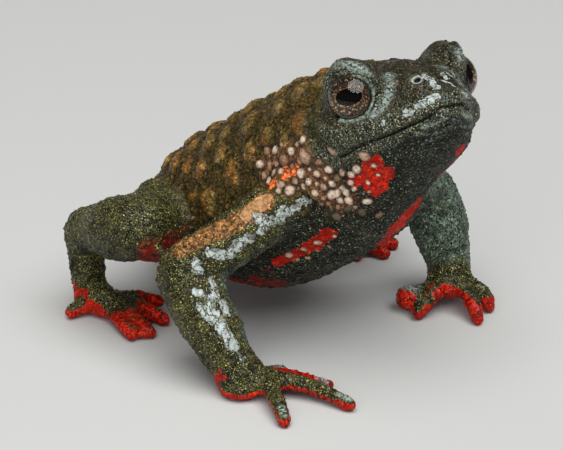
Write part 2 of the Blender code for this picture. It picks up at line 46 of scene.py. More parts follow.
BOX_MIDDLE = np.array((-3.545, 0.559, 0.0))
HEAD_MIDDLE = np.array((3.5, 0.5, 15.8))
HEAD_YAW, HEAD_PITCH, HEAD_ROLL = math.radians(-10.0), math.radians(22.0), math.radians(4.0)

ARMS = ("upper_arm", "forearm")
LEGS = ("thigh", "shank")
FLESH = ["head", "torso"] + [
    side + "_" + part for side in ("left", "right") for part in ARMS + ("hand",) + LEGS + ("foot",)
]

# The skin: how far the solids swell to close the gaps between them, and its grain.
SWELL = 0.19
GRAIN = 0.125
GAP_REACH = (0.05, 0.09)        # distance from the solids at which skin counts as bridging a gap
BRIDGE_SMOOTHING = 40

# The eye, and the lids round it.
EYE_BY_HEAD = (-0.25, 3.15, 0.2)
EYE_FACES_BY_HEAD = {"left": (0.52, 0.85, 0.05), "right": (0.62, 0.77, 0.05)}
EYE_RADIUS = 1.35
SOCKET_RADIUS = 1.65
LID_ANGLE = 1.09                # of the lids' edge, off the way the eye looks
LID_SQUINT = (0.27, 0.15)       # how much further the upper and the lower lid come over the eye
LID_BACK = 0.06                 # how far the opening between the lids lies behind the eye's axis
LID_SINK = 0.4                  # how far the skin by the socket is drawn in towards the ball
LID_CLEARANCE = 0.02
LID_RISE = 0.04
BROWS_BY_HEAD = [                # place, inner and outer reach, and rise
    ((0.0, 3.05, 1.85), 0.5, 1.7, 0.34), ((-1.4, 3.3, 1.4), 0.4, 1.4, 0.26),
]
FOLD_BY_HEAD = (                 # in front of the eye: path and half width
    [(1.45, 1.75, 1.5), (1.75, 2.0, 0.9), (1.75, 2.1, 0.2), (1.7, 2.55, -0.3), (1.4, 2.95, -0.8)], 0.16,
)
FAR_FACE_BY_HEAD = [             # place on the far side, inner and outer reach, and rise
    ((4.1, 1.2, -1.15), 0.2, 1.3, -0.2), ((2.1, 2.8, -1.4), 0.7, 1.9, -0.32),
    ((0.95, 3.3, 1.65), 0.3, 1.0, 0.25),
]
IRIS_RADIUS = 1.1
PUPIL = (0.63, 0.39)            # half width and half height
CORNEA_RADIUS = 1.37

NOSTRIL_BY_HEAD = (2.5, 0.9, 0.38)
NOSTRIL_PIT = (0.15, 0.3)       # radius and depth
NOSTRIL_RIM = 0.07
MOUTH_BY_HEAD = [
    (-1.2, 3.85, -2.85), (-0.3, 3.49, -2.6), (0.9, 3.0, -2.24), (1.9, 2.67, -1.99), (2.75, 2.14, -1.68),
    (3.5, 1.59, -1.42), (3.9, 1.03, -1.22), (4.05, 0.25, -0.97),
]
MOUTH_GROOVE = (0.22, 0.08)     # depth and half width
LIP = (0.05, 0.28, 0.16)        # rise, height above the mouth line and half width
CHIN_FOLD_RISE = 0.07
CREASE_SPACING = 0.42

# Joints of the limbs, each with how far its creases reach, and the tips of the digits.
JOINTS = [
    ((-4.5, -8.2, 5.5), 2.3), ((-1.3, 7.9, 6.0), 2.3), ((-0.6, -8.4, 1.6), 2.1), ((0.1, 8.0, 2.3), 2.0),
    ((-7.9, -8.3, 7.0), 2.4), ((-6.6, 8.6, 6.2), 2.4), ((-13.4, -7.3, 4.9), 1.9), ((-12.4, 8.2, 4.0), 1.9),
]
PALMS = [(0.6, -8.0, 0.8), (0.6, 7.5, 1.4)]
SOLES = [(-12.3, -7.2, 0.9), (-10.5, 8.7, 0.8)]
TIPS = [
    (0.45, -5.6, 0.4), (3.3, -5.0, 0.35), (5.6, -5.7, 0.35), (4.4, -9.4, 0.35),
    (-0.35, 5.3, 0.75), (0.85, 4.7, 0.35), (3.6, 6.6, 0.35), (3.0, 8.2, 0.35),
    (-10.5, -4.5, 0.4), (-8.6, -5.8, 0.35), (-8.0, -7.4, 0.35), (-8.5, -8.3, 0.35), (-12.9, -8.9, 0.4),
    (-8.6, 6.6, 0.4), (-6.8, 7.8, 0.35), (-5.9, 9.1, 0.35), (-6.4, 10.4, 0.35), (-10.7, 10.8, 0.4),
]

# Markings, as chains of places with a half width. Those with the right side's Y are on both sides.
RED_BY_HEAD = [
    ([(0.5, 3.0, -3.2), (-0.3, 2.8, -4.03), (-0.95, 2.35, -4.75)], 0.5),
    ([(-1.0, 3.2, -4.0), (-0.35, 2.85, -4.0), (0.4, 2.3, -3.9)], 0.5),
    ([(0.2, 2.65, -3.6), (-0.4, 2.5, -4.5)], 0.6),
]
CHEST_RED = [
    ([(-2.1, -3.52, 5.3), (-1.21, -3.37, 5.95), (0.05, -3.13, 6.8)], 0.34),
    ([(0.05, -3.13, 6.9), (0.9, -3.05, 7.6), (1.5, -3.1, 8.15)], 0.44),
]
FAR_CHEST_RED = [
    ([(4.25, 0.6, 9.4), (4.08, 0.05, 8.83), (3.69, -0.35, 8.23)], 0.55),
    ([(3.69, -0.4, 8.23), (3.04, -0.45, 7.45), (2.6, -0.4, 7.0)], 0.32),
]
FAR_THROAT_RED_BY_HEAD = [(2.0, 1.4, -3.3), (1.5, 1.8, -3.7)]
SHOULDER_RED = [
    ([(-1.3, -4.5, 10.45), (-0.7, -4.2, 10.95)], 0.28),
    ([(-0.6, -4.2, 11.3), (0.1, -4.05, 11.65)], 0.28),
    ([(0.95, -4.0, 11.25), (1.2, -3.9, 11.0)], 0.2),
]
SHOULDER = [
    ([(-2.0, -4.2, 11.2), (-0.8, -4.0, 11.9), (0.3, -3.9, 12.5)], 0.75),
    ([(0.0, -4.1, 11.6), (1.5, -3.6, 11.7), (2.0, -3.6, 11.0), (2.6, -3.2, 10.6)], 0.8),
]
ARM_RIDGE = ([
    (-1.2, -5.2, 9.75), (-1.8, -5.95, 9.1), (-2.3, -6.6, 8.6), (-2.9, -7.1, 8.2), (-3.6, -7.8, 7.6),
    (-4.3, -8.5, 6.9),
], 0.6)
CREAM_RIDGE = ([(-1.15, -5.15, 9.75), (-1.5, -5.55, 9.45), (-1.85, -6.0, 9.1)], 0.42)
# Painted reflections on the upper arm and forearm: pale patches standing for the lamp's reflection in the
# wet skin; the same places are also made smoother and glossier.
ARM_WET_REFLECTIONS = [
    ([(0.34, -4.34, 9.89), (0.89, -4.0, 10.13)], 0.24),
    ([(0.05, -4.95, 9.47), (0.23, -4.38, 9.63)], 0.26),
    ([(-1.28, -5.78, 8.95), (-0.85, -5.54, 8.84), (-0.29, -5.2, 8.97), (-0.16, -5.11, 9.45)], 0.3),
    ([(-0.96, -5.73, 8.34), (-0.92, -5.62, 8.79)], 0.26),
    ([(-2.66, -7.86, 7.14), (-2.22, -7.48, 7.04), (-1.89, -7.05, 7.12), (-1.74, -6.75, 7.72),
      (-1.33, -6.26, 7.93)], 0.28),
    ([(-3.14, -8.58, 6.63), (-2.88, -8.54, 6.18)], 0.27),
    ([(-2.4, -8.2, 5.75), (-2.3, -8.2, 5.5)], 0.2),
    ([(-2.5, -9.21, 5.36), (-2.3, -9.1, 5.27)], 0.22),
    ([(-1.88, -8.41, 5.24), (-1.67, -8.99, 4.69), (-1.24, -8.97, 4.18), (-0.53, -8.85, 3.45),
      (-0.11, -8.75, 2.91)], 0.36),
    ([(-1.52, -8.17, 4.75), (-1.08, -8.23, 4.22)], 0.25),
    ([(-2.02, -9.31, 4.79), (-1.58, -9.3, 4.3)], 0.22),
    ([(0.47, -8.58, 2.28), (0.3, -8.7, 2.4)], 0.14),
]
# Painted reflections in the wet skin of the snout and face.
HEAD_WET_REFLECTIONS_BY_HEAD = [
    ([(3.26, 1.72, -0.72), (3.6, 1.4, -0.62), (3.85, 0.9, -0.33)], 0.24),
    ([(2.66, 2.15, -1.0), (2.95, 1.95, -1.02)], 0.2),
    ([(2.75, 0.55, 0.65), (3.1, 0.4, 0.3), (3.5, 0.45, 0.0)], 0.22),
    ([(1.62, 2.85, -1.33), (1.66, 2.83, -1.4)], 0.13),
    ([(-2.23, 3.96, -1.13), (-2.15, 3.96, -1.2)], 0.16),
]
# Painted highlights on the head: a pale band on the brow over the eye, the fold before the eye (partly pale
# skin), and pale streaks by the jaw and nostril.
PAINTED_HIGHLIGHTS_BY_HEAD = [
    ([(-0.6, 3.6, 1.95), (0.2, 3.45, 1.9), (0.87, 3.15, 1.6), (1.5, 2.77, 1.35)], 0.26),
    ([(0.9, 1.6, 1.1), (1.36, 1.85, 0.55), (1.54, 2.16, 0.03), (1.48, 2.59, -0.42),
      (1.1, 3.05, -0.85)], 0.24),
    ([(1.15, 3.11, -0.74), (0.31, 3.23, -1.0), (-0.48, 3.47, -1.08)], 0.16),
    ([(-1.11, 3.91, -1.93), (-1.0, 3.88, -2.1)], 0.3),
    ([(-1.23, 4.08, -2.27), (-0.6, 3.53, -2.49)], 0.22),
    ([(2.3, 0.95, 0.6), (2.4, 1.1, 0.45)], 0.22),
]
# Folds of the chin, raised in the skin, each also given a painted highlight along it.
CHIN_FOLDS_BY_HEAD = [
    ([(3.0, 1.9, -2.1), (3.36, 1.27, -2.28), (3.83, 0.42, -2.08), (4.1, 0.1, -1.7)], 0.08),
    ([(2.9, 1.5, -2.65), (3.4, 0.9, -2.58), (3.8, 0.2, -2.4)], 0.07),
    ([(2.3, 2.2, -2.3), (2.7, 1.75, -2.45)], 0.08),
    ([(3.3, 1.6, -1.8), (3.75, 1.1, -1.72), (4.0, 0.6, -1.5)], 0.12),
]
RED_FINGER = ([(1.2, -6.5, 0.75), (2.3, -5.7, 0.55), (3.3, -5.0, 0.35)], 0.62)
RED_SIDED_FINGERS = (
    [(-0.3, 4.57, 1.0), (0.09, 5.62, 1.1), (1.25, 5.99, 1.3), (2.12, 6.7, 1.0), (3.46, 6.39, 0.6)], 0.6,
)

# The beads of the throat, shoulder and chest, on both sides: place, radius and paleness.
BEADS = [
    (0.43, 4.03, 11.53, 0.30, 0.9), (1.05, 3.98, 11.22, 0.22, 0.9), (1.35, 3.81, 11.75, 0.22, 0.7),
    (2.05, 3.52, 10.80, 0.27, 0.9), (2.48, 3.24, 10.61, 0.22, 0.8), (2.92, 3.00, 10.67, 0.25, 0.8),
    (3.41, 2.47, 10.70, 0.25, 0.9), (2.26, 3.27, 10.98, 0.22, 1.0), (2.79, 3.13, 11.07, 0.22, 1.0),
    (3.08, 3.05, 11.70, 0.19, 1.0), (3.17, 2.94, 11.31, 0.16, 1.0), (3.29, 3.32, 12.20, 0.22, 1.0),
    (3.64, 3.25, 12.60, 0.27, 1.0), (2.71, 3.36, 12.17, 0.19, 0.6), (2.50, 3.40, 11.78, 0.19, 0.3),
    (2.63, 3.27, 11.36, 0.16, 0.8), (4.51, 3.06, 12.92, 0.16, 0.9), (4.45, 2.64, 12.35, 0.13, 1.0),
    (3.90, 2.70, 11.91, 0.13, 1.0), (3.75, 2.40, 11.31, 0.12, 0.8), (-0.11, 4.39, 10.45, 0.30, 0.7),
    (-0.71, 4.52, 10.23, 0.19, 0.7), (-1.36, 4.25, 11.04, 0.22, 0.7), (0.66, 3.80, 12.59, 0.44, 0.6),
    (-0.86, 3.99, 11.94, 0.33, 0.4), (0.16, 4.11, 12.20, 0.19, 0.5), (2.25, 3.37, 13.50, 0.33, 0.6),
    (4.17, 3.21, 13.50, 0.33, 0.6), (1.78, 3.90, 11.13, 0.19, 0.6), (1.85, 3.54, 10.37, 0.16, 0.5),
    (2.25, 3.07, 9.52, 0.27, 0.2), (2.72, 2.96, 10.13, 0.19, 0.15), (3.12, 2.41, 9.95, 0.22, 0.15),
    (3.38, 1.59, 9.77, 0.22, 0.3), (-0.72, 4.38, 10.65, 0.22, 0.6), (1.52, 2.74, 8.07, 0.14, 0.8),
    (0.56, 2.98, 7.39, 0.22, 0.8), (-0.32, 3.21, 6.72, 0.19, 0.6), (-1.23, 3.43, 6.08, 0.25, 0.7),
    (-0.39, 2.83, 6.03, 0.19, 0.6), (-0.94, 3.02, 5.77, 0.16, 0.5), (0.32, 2.72, 6.68, 0.16, 0.5),
    (0.94, 2.57, 7.14, 0.14, 0.6),
]
BEAD_HEIGHT = 0.4               # of a bead, as a share of its radius
BEAD_TRIES = 9000
BEAD_SEED = 2
SHOULDER_BEADS = {
    "radii": (0.13, 0.28), "crowding": 1.12, "height": BEAD_HEIGHT, "tones": (0.35, 0.85), "seed": 3,
}
CHEST_PEBBLES = {"radii": (0.13, 0.24), "crowding": 1.05, "height": 0.35, "tones": (0.0, 1.0), "seed": 5}
BODY_PEBBLES = {"radii": (0.12, 0.26), "crowding": 1.1, "height": 0.25, "tones": (0.0, 1.0), "seed": 6}


def head_axes():
    """Forward, left and up directions of the head, as columns."""
    turn = (
        Matrix.Rotation(HEAD_YAW, 3, "Z")
        @ Matrix.Rotation(-HEAD_PITCH, 3, "Y")
        @ Matrix.Rotation(-HEAD_ROLL, 3, "X")
    )
    return np.array(turn)


HEAD_AXES = head_axes()


def by_head(places):
    """Places in the head's axes, with both sides folded onto the left."""
    rows = (np.atleast_2d(places) - HEAD_MIDDLE) @ HEAD_AXES
    return np.stack([rows[:, 0], np.abs(rows[:, 1]), rows[:, 2]], axis=1)


def head_place(along, out, up):
    return HEAD_MIDDLE + HEAD_AXES @ np.array((along, out, up))


def ramp(value, low, high):
    share = np.clip((value - low) / (high - low), 0.0, 1.0)
    return share * share * (3.0 - 2.0 * share)


def bell(distance, width):
    return np.exp(-((distance / width) ** 2))


def from_place(places, place):
    return np.linalg.norm(places - np.array(place), axis=1)


def from_path(places, path):
    """Distance of each place from a chain of straight lines."""
    path = np.array(path, float)
    nearest = np.full(len(places), np.inf)
    for start, end in zip(path[:-1], path[1:]):
        way = end - start
        share = np.clip((places - start) @ way / (way @ way), 0.0, 1.0)
        nearest = np.minimum(nearest, np.linalg.norm(places - start - share[:, None] * way, axis=1))
    return nearest


def stripe(places, marking, softness=0.5):
    """1 inside a marking, falling to 0 across its edge."""
    path, half_width = marking
    distance = from_path(places, path)
    return 1.0 - ramp(distance, half_width * (1.0 - softness), half_width * (1.0 + softness))


def stripes(places, markings, softness=0.5):
    return np.max([stripe(places, marking, softness) for marking in markings], axis=0)


def place_rows(data):
    rows = np.empty(len(data.vertices) * 3)
    data.vertices.foreach_get("co", rows)
    return rows.reshape(-1, 3)


def outward_rows(data):
    rows = np.empty(len(data.vertices) * 3)
    data.vertices.foreach_get("normal", rows)
    return rows.reshape(-1, 3)


def set_places(data, rows):
    data.vertices.foreach_set("co", rows.ravel())
    data.update()


def link(name, data):
    thing = bpy.data.objects.new(name, data)
    bpy.context.scene.collection.objects.link(thing)
    return thing


def evaluated_mesh(thing):
    """The thing's mesh as its modifiers leave it; the modifiers are then removed."""
    finished = bpy.data.meshes.new_from_object(
        thing.evaluated_get(bpy.context.evaluated_depsgraph_get())
    )
    thing.modifiers.clear()
    return finished


def remeshed(data):
    """The mesh closed and made even at the skin's grain."""
    thing = link("closing", data)
    remesh = thing.modifiers.new("close", "REMESH")
    remesh.mode = "VOXEL"
    remesh.voxel_size = GRAIN
    finished = evaluated_mesh(thing)
    bpy.data.objects.remove(thing)
    return finished


def edge_rows(data):
    rows = np.empty(len(data.edges) * 2, int)
    data.edges.foreach_get("vertices", rows)
    return rows.reshape(-1, 2)


def neighbour_mean(values, edges, count):
    """The mean of each vertex's neighbours."""
    degree = np.bincount(edges.ravel(), minlength=count)
    columns = values.reshape(count, -1)
    total = np.zeros_like(columns)
    for column in range(columns.shape[1]):
        total[:, column] = np.bincount(edges[:, 0], columns[edges[:, 1], column], count)
        total[:, column] += np.bincount(edges[:, 1], columns[edges[:, 0], column], count)
    return (total / np.maximum(degree, 1)[:, None]).reshape(values.shape)


def smoothed(values, edges, times, weight=0.5):
    count = len(values)
    share = weight if np.isscalar(weight) else weight.reshape((count,) + (1,) * (values.ndim - 1))
    for _ in range(times):
        values = values + share * (neighbour_mean(values, edges, count) - values)
    return values


# The skin

def joined_solids():
    """The flesh solids in the modelling frame as one mesh, and the solid that each face is from."""
    mesh = bmesh.new()
    owners = []
    for number, name in enumerate(FLESH):
        mesh.from_mesh(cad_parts[name].data)
        owners += [number] * (len(mesh.faces) - len(owners))
    owner_layer = mesh.faces.layers.int.new("owner")
    mesh.faces.ensure_lookup_table()
    for face, owner in zip(mesh.faces, owners):
        face[owner_layer] = owner
    bmesh.ops.scale(mesh, vec=(1 / MM,) * 3, verts=mesh.verts)
    bmesh.ops.translate(mesh, vec=Vector(BOX_MIDDLE), verts=mesh.verts)
    bmesh.ops.remove_doubles(mesh, verts=mesh.verts, dist=0.0008)
    mesh.normal_update()
    return mesh, [face[owner_layer] for face in mesh.faces]


def nearest_solids(places, solids, owner):
    """Distance of each place from the solids, and the number of the nearest one."""
    hits = [solids.find_nearest(Vector(place)) for place in places]
    return np.array([hit[3] for hit in hits]), np.array([owner[hit[2]] for hit in hits])


def closed_skin(mesh, solids, owner):
    """One closed surface over all the flesh, with the gaps between the solids filled."""
    for vertex in mesh.verts:
        vertex.co += vertex.normal * SWELL * min(vertex.calc_shell_factor(), 1.6)
    data = bpy.data.meshes.new("swollen")
    mesh.to_mesh(data)
    skin = remeshed(data)
    edges = edge_rows(skin)
    places = smoothed(place_rows(skin), edges, 3)
    set_places(skin, places)
    outward = smoothed(outward_rows(skin), edges, 3)
    outward /= np.linalg.norm(outward, axis=1)[:, None]
    places = places - outward * SWELL
    away, _ = nearest_solids(places, solids, owner)
    bridge = ramp(away, *GAP_REACH)
    for _ in range(5):
        bridge = np.maximum(bridge, 1.55 * neighbour_mean(bridge, edges, len(places)))
        bridge = np.clip(bridge, 0.0, 1.0)
    bridge[from_place(by_head(places), EYE_BY_HEAD) < 2.0] = 0.0
    set_places(skin, smoothed(places, edges, BRIDGE_SMOOTHING, 0.5 * bridge))
    return skin


def eye_frame(side):
    """Middle of an eyeball, and its across, up and outward directions as columns."""
    sign = 1 if side == "left" else -1
    middle = head_place(EYE_BY_HEAD[0], sign * EYE_BY_HEAD[1], EYE_BY_HEAD[2])
    facing = np.array(EYE_FACES_BY_HEAD[side]) * (1.0, sign, 1.0)
    facing = HEAD_AXES @ (facing / np.linalg.norm(facing))
    across = np.cross(HEAD_AXES[:, 2], facing)
    across /= np.linalg.norm(across)
    return middle, np.stack([across, np.cross(facing, across), facing], axis=1)


def eye_polar(places, side):
    """Distance from the eye's middle, angle off the way it looks, and angle round that way."""
    middle, turn = eye_frame(side)
    local = (places - middle) @ turn
    angle = np.arctan2(np.hypot(local[:, 0], local[:, 1]), local[:, 2])
    return np.linalg.norm(local, axis=1), angle, np.arctan2(local[:, 1], local[:, 0])


def from_polar(distance, angle, around, side):
    middle, turn = eye_frame(side)
    local = np.stack([np.sin(angle) * np.cos(around), np.sin(angle) * np.sin(around), np.cos(angle)], axis=1)
    return middle + (distance[:, None] * local) @ turn.T


def lid_edge(around, side):
    """Angle of the lids' edge off the way the eye looks."""
    height = np.sin(around)
    backward = np.cos(around) * (1 if side == "left" else -1)
    return LID_ANGLE + LID_BACK * backward - np.where(height > 0.0, *LID_SQUINT) * height ** 2


def draw_in_the_lids(places):
    """Stretches the skin round each eye over the ball, to a thin lid that hugs it."""
    centres = np.linspace(-math.pi, math.pi, 37)[:-1]
    for side in ("left", "right"):
        distance, angle, around = eye_polar(places, side)
        wall = (distance < SOCKET_RADIUS + 0.1) & (angle < 2.0)
        rim = np.array([
            np.min(angle[wall & (np.abs((around - centre + math.pi) % (2 * math.pi) - math.pi) < 0.12)],
                   initial=1.6)
            for centre in centres
        ])
        for _ in range(3):
            rim = (np.roll(rim, 1) + 2 * rim + np.roll(rim, -1)) / 4
        rim_here = np.interp(around, centres, rim, period=2 * math.pi)
        near = distance < 3.2
        weight = (1.0 - ramp(angle - rim_here, 0.05, 0.95)) * (1.0 - ramp(distance, 2.2, 3.2))
        drawn = angle - (rim_here - lid_edge(around, side)) * weight
        sunk = LID_SINK * (1.0 - ramp(distance, 1.85, 2.9))
        places = np.where(near[:, None], from_polar(distance - sunk, drawn, around, side), places)
    return places


def finish_the_lids(places):
    """Keeps the skin off the balls, and rolls the lids' edges up a little."""
    for side in ("left", "right"):
        distance, angle, around = eye_polar(places, side)
        near = distance < 2.2
        beyond = angle - lid_edge(around, side)
        rolled = distance + LID_RISE * bell(beyond - 0.07, 0.06) * bell(distance - 1.45, 0.3)
        rolled = rolled - 0.06 * bell(beyond - 0.22, 0.06) * bell(distance - 1.5, 0.3)
        rolled = np.maximum(rolled, EYE_RADIUS + LID_CLEARANCE)
        places = np.where(near[:, None], from_polar(rolled, angle, around, side), places)
    return places


def refined(data, chosen):
    """The mesh with the faces at the chosen vertices split in four."""
    mesh = bmesh.new()
    mesh.from_mesh(data)
    edges = {edge for face in mesh.faces if any(chosen[v.index] for v in face.verts) for edge in face.edges}
    bmesh.ops.subdivide_edges(mesh, edges=list(edges), cuts=1, use_grid_fill=True)
    wide = [face for face in mesh.faces if len(face.verts) > 4]
    bmesh.ops.triangulate(mesh, faces=wide)
    finer = bpy.data.meshes.new("finer")
    mesh.to_mesh(finer)
    mesh.free()
    return finer


def above_the_mouth(head):
    line = np.array(MOUTH_BY_HEAD)
    return head[:, 2] - np.interp(head[:, 0], line[:, 0], line[:, 2])


def fine_features(places):
    """The vertices round the eyes, nostrils and mouth line."""
    head = by_head(places)
    from_eye = from_place(head, EYE_BY_HEAD)
    mouth = (np.abs(above_the_mouth(head)) < 0.4) & (head[:, 0] > -1.6) & (head[:, 0] + head[:, 1] > 1.5)
    return (from_eye < 2.3) & (from_eye > 1.2) | mouth | (from_place(head, NOSTRIL_BY_HEAD) < 0.7)


def off_the_lids(places):
    """1 away from the lids, falling to 0 at their edges."""
    clear = np.ones(len(places))
    for side in ("left", "right"):
        distance, angle, around = eye_polar(places, side)
        beyond = ramp(angle - lid_edge(around, side), 0.12, 0.55)
        clear = np.where(distance < 3.0, beyond, clear)
    return clear


def carve_the_face(places, outward, edges):
    """Mouth line, lips and nostrils, the brows, the far cheek, the chin's folds and the one by the eye."""
    head = by_head(places)
    from_nostril = from_place(head, NOSTRIL_BY_HEAD)
    places = smoothed(places, edges, 25, 0.5 * (1.0 - ramp(from_nostril, 0.5, 0.8)))
    nearest = np.argmin(from_place(by_head(places), NOSTRIL_BY_HEAD))
    from_nostril = from_place(by_head(places), by_head(places[nearest])[0])
    above = above_the_mouth(head)
    on_face = ramp(head[:, 0], -1.6, -0.6) * ramp(head[:, 1] + head[:, 0], 0.5, 1.5)
    places = smoothed(places, edges, 8, 0.5 * on_face * (1.0 - ramp(np.abs(above - 0.15), 0.35, 0.6)))
    depth, half_width = MOUTH_GROOVE
    rise = -depth * bell(above, half_width) * on_face
    lip_rise, lip_above, half_width = LIP
    rise += lip_rise * bell(above - lip_above, half_width) * on_face
    radius, pit = NOSTRIL_PIT
    rise -= (pit + NOSTRIL_RIM) * bell(from_nostril, radius)
    rise += NOSTRIL_RIM * (1.0 - ramp(from_nostril, 0.3, 0.55))
    clear = off_the_lids(places)
    for place, inner, outer, height in BROWS_BY_HEAD:
        rise += height * (1.0 - ramp(from_place(head, place), inner, outer)) * clear
    folds = [bell(from_path(head, path), 0.08) for path, _ in CHIN_FOLDS_BY_HEAD]
    rise += CHIN_FOLD_RISE * np.max(folds, axis=0)
    clear = np.maximum(clear, ramp(from_place(head, EYE_BY_HEAD), 1.95, 2.5))
    for place, inner, outer, height in FAR_FACE_BY_HEAD:
        away = from_place((places - HEAD_MIDDLE) @ HEAD_AXES, place)
        rise += height * (1.0 - ramp(away, inner, outer)) * clear
    fold, half_width = FOLD_BY_HEAD
    from_fold = from_path(head, fold)
    rise += 0.05 * bell(from_fold - 0.38, 0.2) - 0.16 * bell(from_fold, half_width)
    return places + outward * rise[:, None], from_nostril


def relief_of(places, outward, edges, times):
    """How far each vertex stands above the smoothed surface round it."""
    return np.einsum("ij,ij->i", places - smoothed(places, edges, times), outward)


class Beads:
    """Rounded beads of the skin: how far up one each vertex is, its paleness, and how far it lifts."""

    def __init__(self, places, outward):
        self.places, self.outward = places, outward
        self.dome, self.lift = np.zeros(len(places)), np.zeros(len(places))
        self.tone = np.full(len(places), 0.5)
        self.middles, self.radii = np.full((BEAD_TRIES, 3), 1e3), np.zeros(BEAD_TRIES)
        self.count = 0

    def add(self, index, radius, height, tone, way, stretch):
        middle = self.places[index]
        self.middles[self.count], self.radii[self.count] = middle, radius
        self.count += 1
        near = np.flatnonzero(np.abs(self.places - middle).max(axis=1) < 1.5 * radius)
        offset = self.places[near] - middle
        along = offset @ way
        spread = ((offset ** 2).sum(axis=1) - stretch * along ** 2) / radius ** 2
        rise = np.clip(1.0 - spread, 0.0, None) ** 0.8
        self.tone[near] = np.where(rise > self.dome[near], tone, self.tone[near])
        self.dome[near] = np.maximum(self.dome[near], rise)
        self.lift[near] = np.maximum(self.lift[near], height * rise)

    def tangent(self, index, draw):
        way = np.cross(self.outward[index], draw.normal(size=3))
        return way / np.linalg.norm(way)

    def place_all(self, beads, seed):
        """The listed beads, on both sides, each at the skin's nearest vertex."""
        draw = np.random.default_rng(seed)
        for side in (-1, 1):
            for along, out, up, radius, tone in beads:
                index = int(np.argmin(from_place(self.places, (along, side * out, up))))
                way = self.tangent(index, draw)
                self.add(index, radius * 1.05, BEAD_HEIGHT * radius, tone, way, draw.uniform(0.15, 0.5))

    def spread(self, where, radii, crowding, height, tones, seed):
        """Beads of mixed sizes in seeded order, the large ones first."""
        draw = np.random.default_rng(seed)
        chosen = draw.permutation(np.flatnonzero(where > draw.uniform(0.15, 1.0, len(where))))
        chosen = chosen[:BEAD_TRIES - self.count]
        sizes = np.sort(radii[0] + (radii[1] - radii[0]) * draw.random(len(chosen)) ** 1.8)[::-1]
        for index, radius in zip(chosen, sizes):
            apart = from_place(self.middles[:self.count], self.places[index])
            if self.count and np.any(apart < crowding * (self.radii[:self.count] + radius)):
                continue
            tone = draw.uniform(*tones)
            self.add(index, radius, height * radius, tone, self.tangent(index, draw), draw.uniform(0.0, 0.4))


def part_masks(names, edges):
    """A function that gives a soft mask of the parts whose names end in any of the given words."""
    def part(*words, times=12):
        chosen = np.zeros(len(names))
        for word in words:
            chosen = np.maximum(chosen, np.char.endswith(names, word).astype(float))
        return smoothed(chosen, edges, times)
    return part


def red_masks(places, outward, head, part):
    """Red of the throat, chest, palms, soles and digits, and the painted highlight on top of the finger
    tips.
    """
    signed_head = (places - HEAD_MIDDLE) @ HEAD_AXES
    hands, feet = part("hand", times=4), part("foot", times=4)
    up, height = outward[:, 2], places[:, 2]
    low = 1.0 - ramp(height, 1.1, 2.2)
    from_tip = np.min([from_place(places, tip) for tip in TIPS], axis=0)
    from_sole = np.min([from_place(places, sole) for sole in SOLES], axis=0)
    toes = feet * ramp(from_sole, 1.6, 2.6) * (1.0 - ramp(height, 1.1, 1.6))
    red = np.maximum.reduce([
        stripes(head, RED_BY_HEAD, 0.6),
        stripes(places, CHEST_RED + FAR_CHEST_RED),
        stripe(signed_head, (FAR_THROAT_RED_BY_HEAD, 0.35)),
        hands * ramp(-up, -0.3, 0.1) * low,
        feet * ramp(-up, -0.6, -0.1) * low,
        (hands + feet) * (1.0 - ramp(up, 0.35, 0.75)) * (1.0 - ramp(from_tip, 0.6, 1.0)),
        hands * stripe(places, RED_FINGER, 0.3),
        hands * stripe(places, RED_SIDED_FINGERS, 0.3) * (1.0 - ramp(up, 0.75, 0.95)),
        toes * (1.0 - 0.4 * ramp(up, 0.7, 0.95)),
    ])
    # Painted highlight: a pale streak on top of each finger tip.
    tip_highlight = hands * ramp(up, 0.72, 0.92) * (1.0 - ramp(from_tip, 0.7, 1.0))
    return np.clip(red, 0.0, 1.0), np.clip(tip_highlight, 0.0, 1.0)


def crease_masks(places, head, part):
    """Where creases run, and the distance across them that tells one crease from the next."""
    amount, across = np.zeros(len(places)), np.zeros(len(places))

    def add(weight, distance):
        stronger = weight > amount
        across[stronger] = distance[stronger]
        amount[stronger] = weight[stronger]

    limbs = part("upper_arm", "forearm", "thigh", "shank", "hand", "foot")
    for place, reach in JOINTS:
        distance = from_place(places, place)
        add(0.9 * limbs * (1.0 - ramp(distance, 0.75 * reach, 1.1 * reach)), distance)
    for place in PALMS:
        distance = from_place(places, place)
        add(part("hand") * ramp(distance, 0.9, 1.4) * (1.0 - ramp(distance, 4.5, 5.5)), distance)
    for place in SOLES:
        distance = from_place(places, place)
        add(0.8 * part("foot") * ramp(distance, 1.0, 1.5) * (1.0 - ramp(distance, 4.0, 5.0)), distance)
    below = -above_the_mouth(head)
    chin = ramp(head[:, 0], 1.6, 2.8) * ramp(below, 0.3, 0.6) * (1.0 - ramp(below, 1.8, 2.6))
    add(chin, below)
    return amount, across


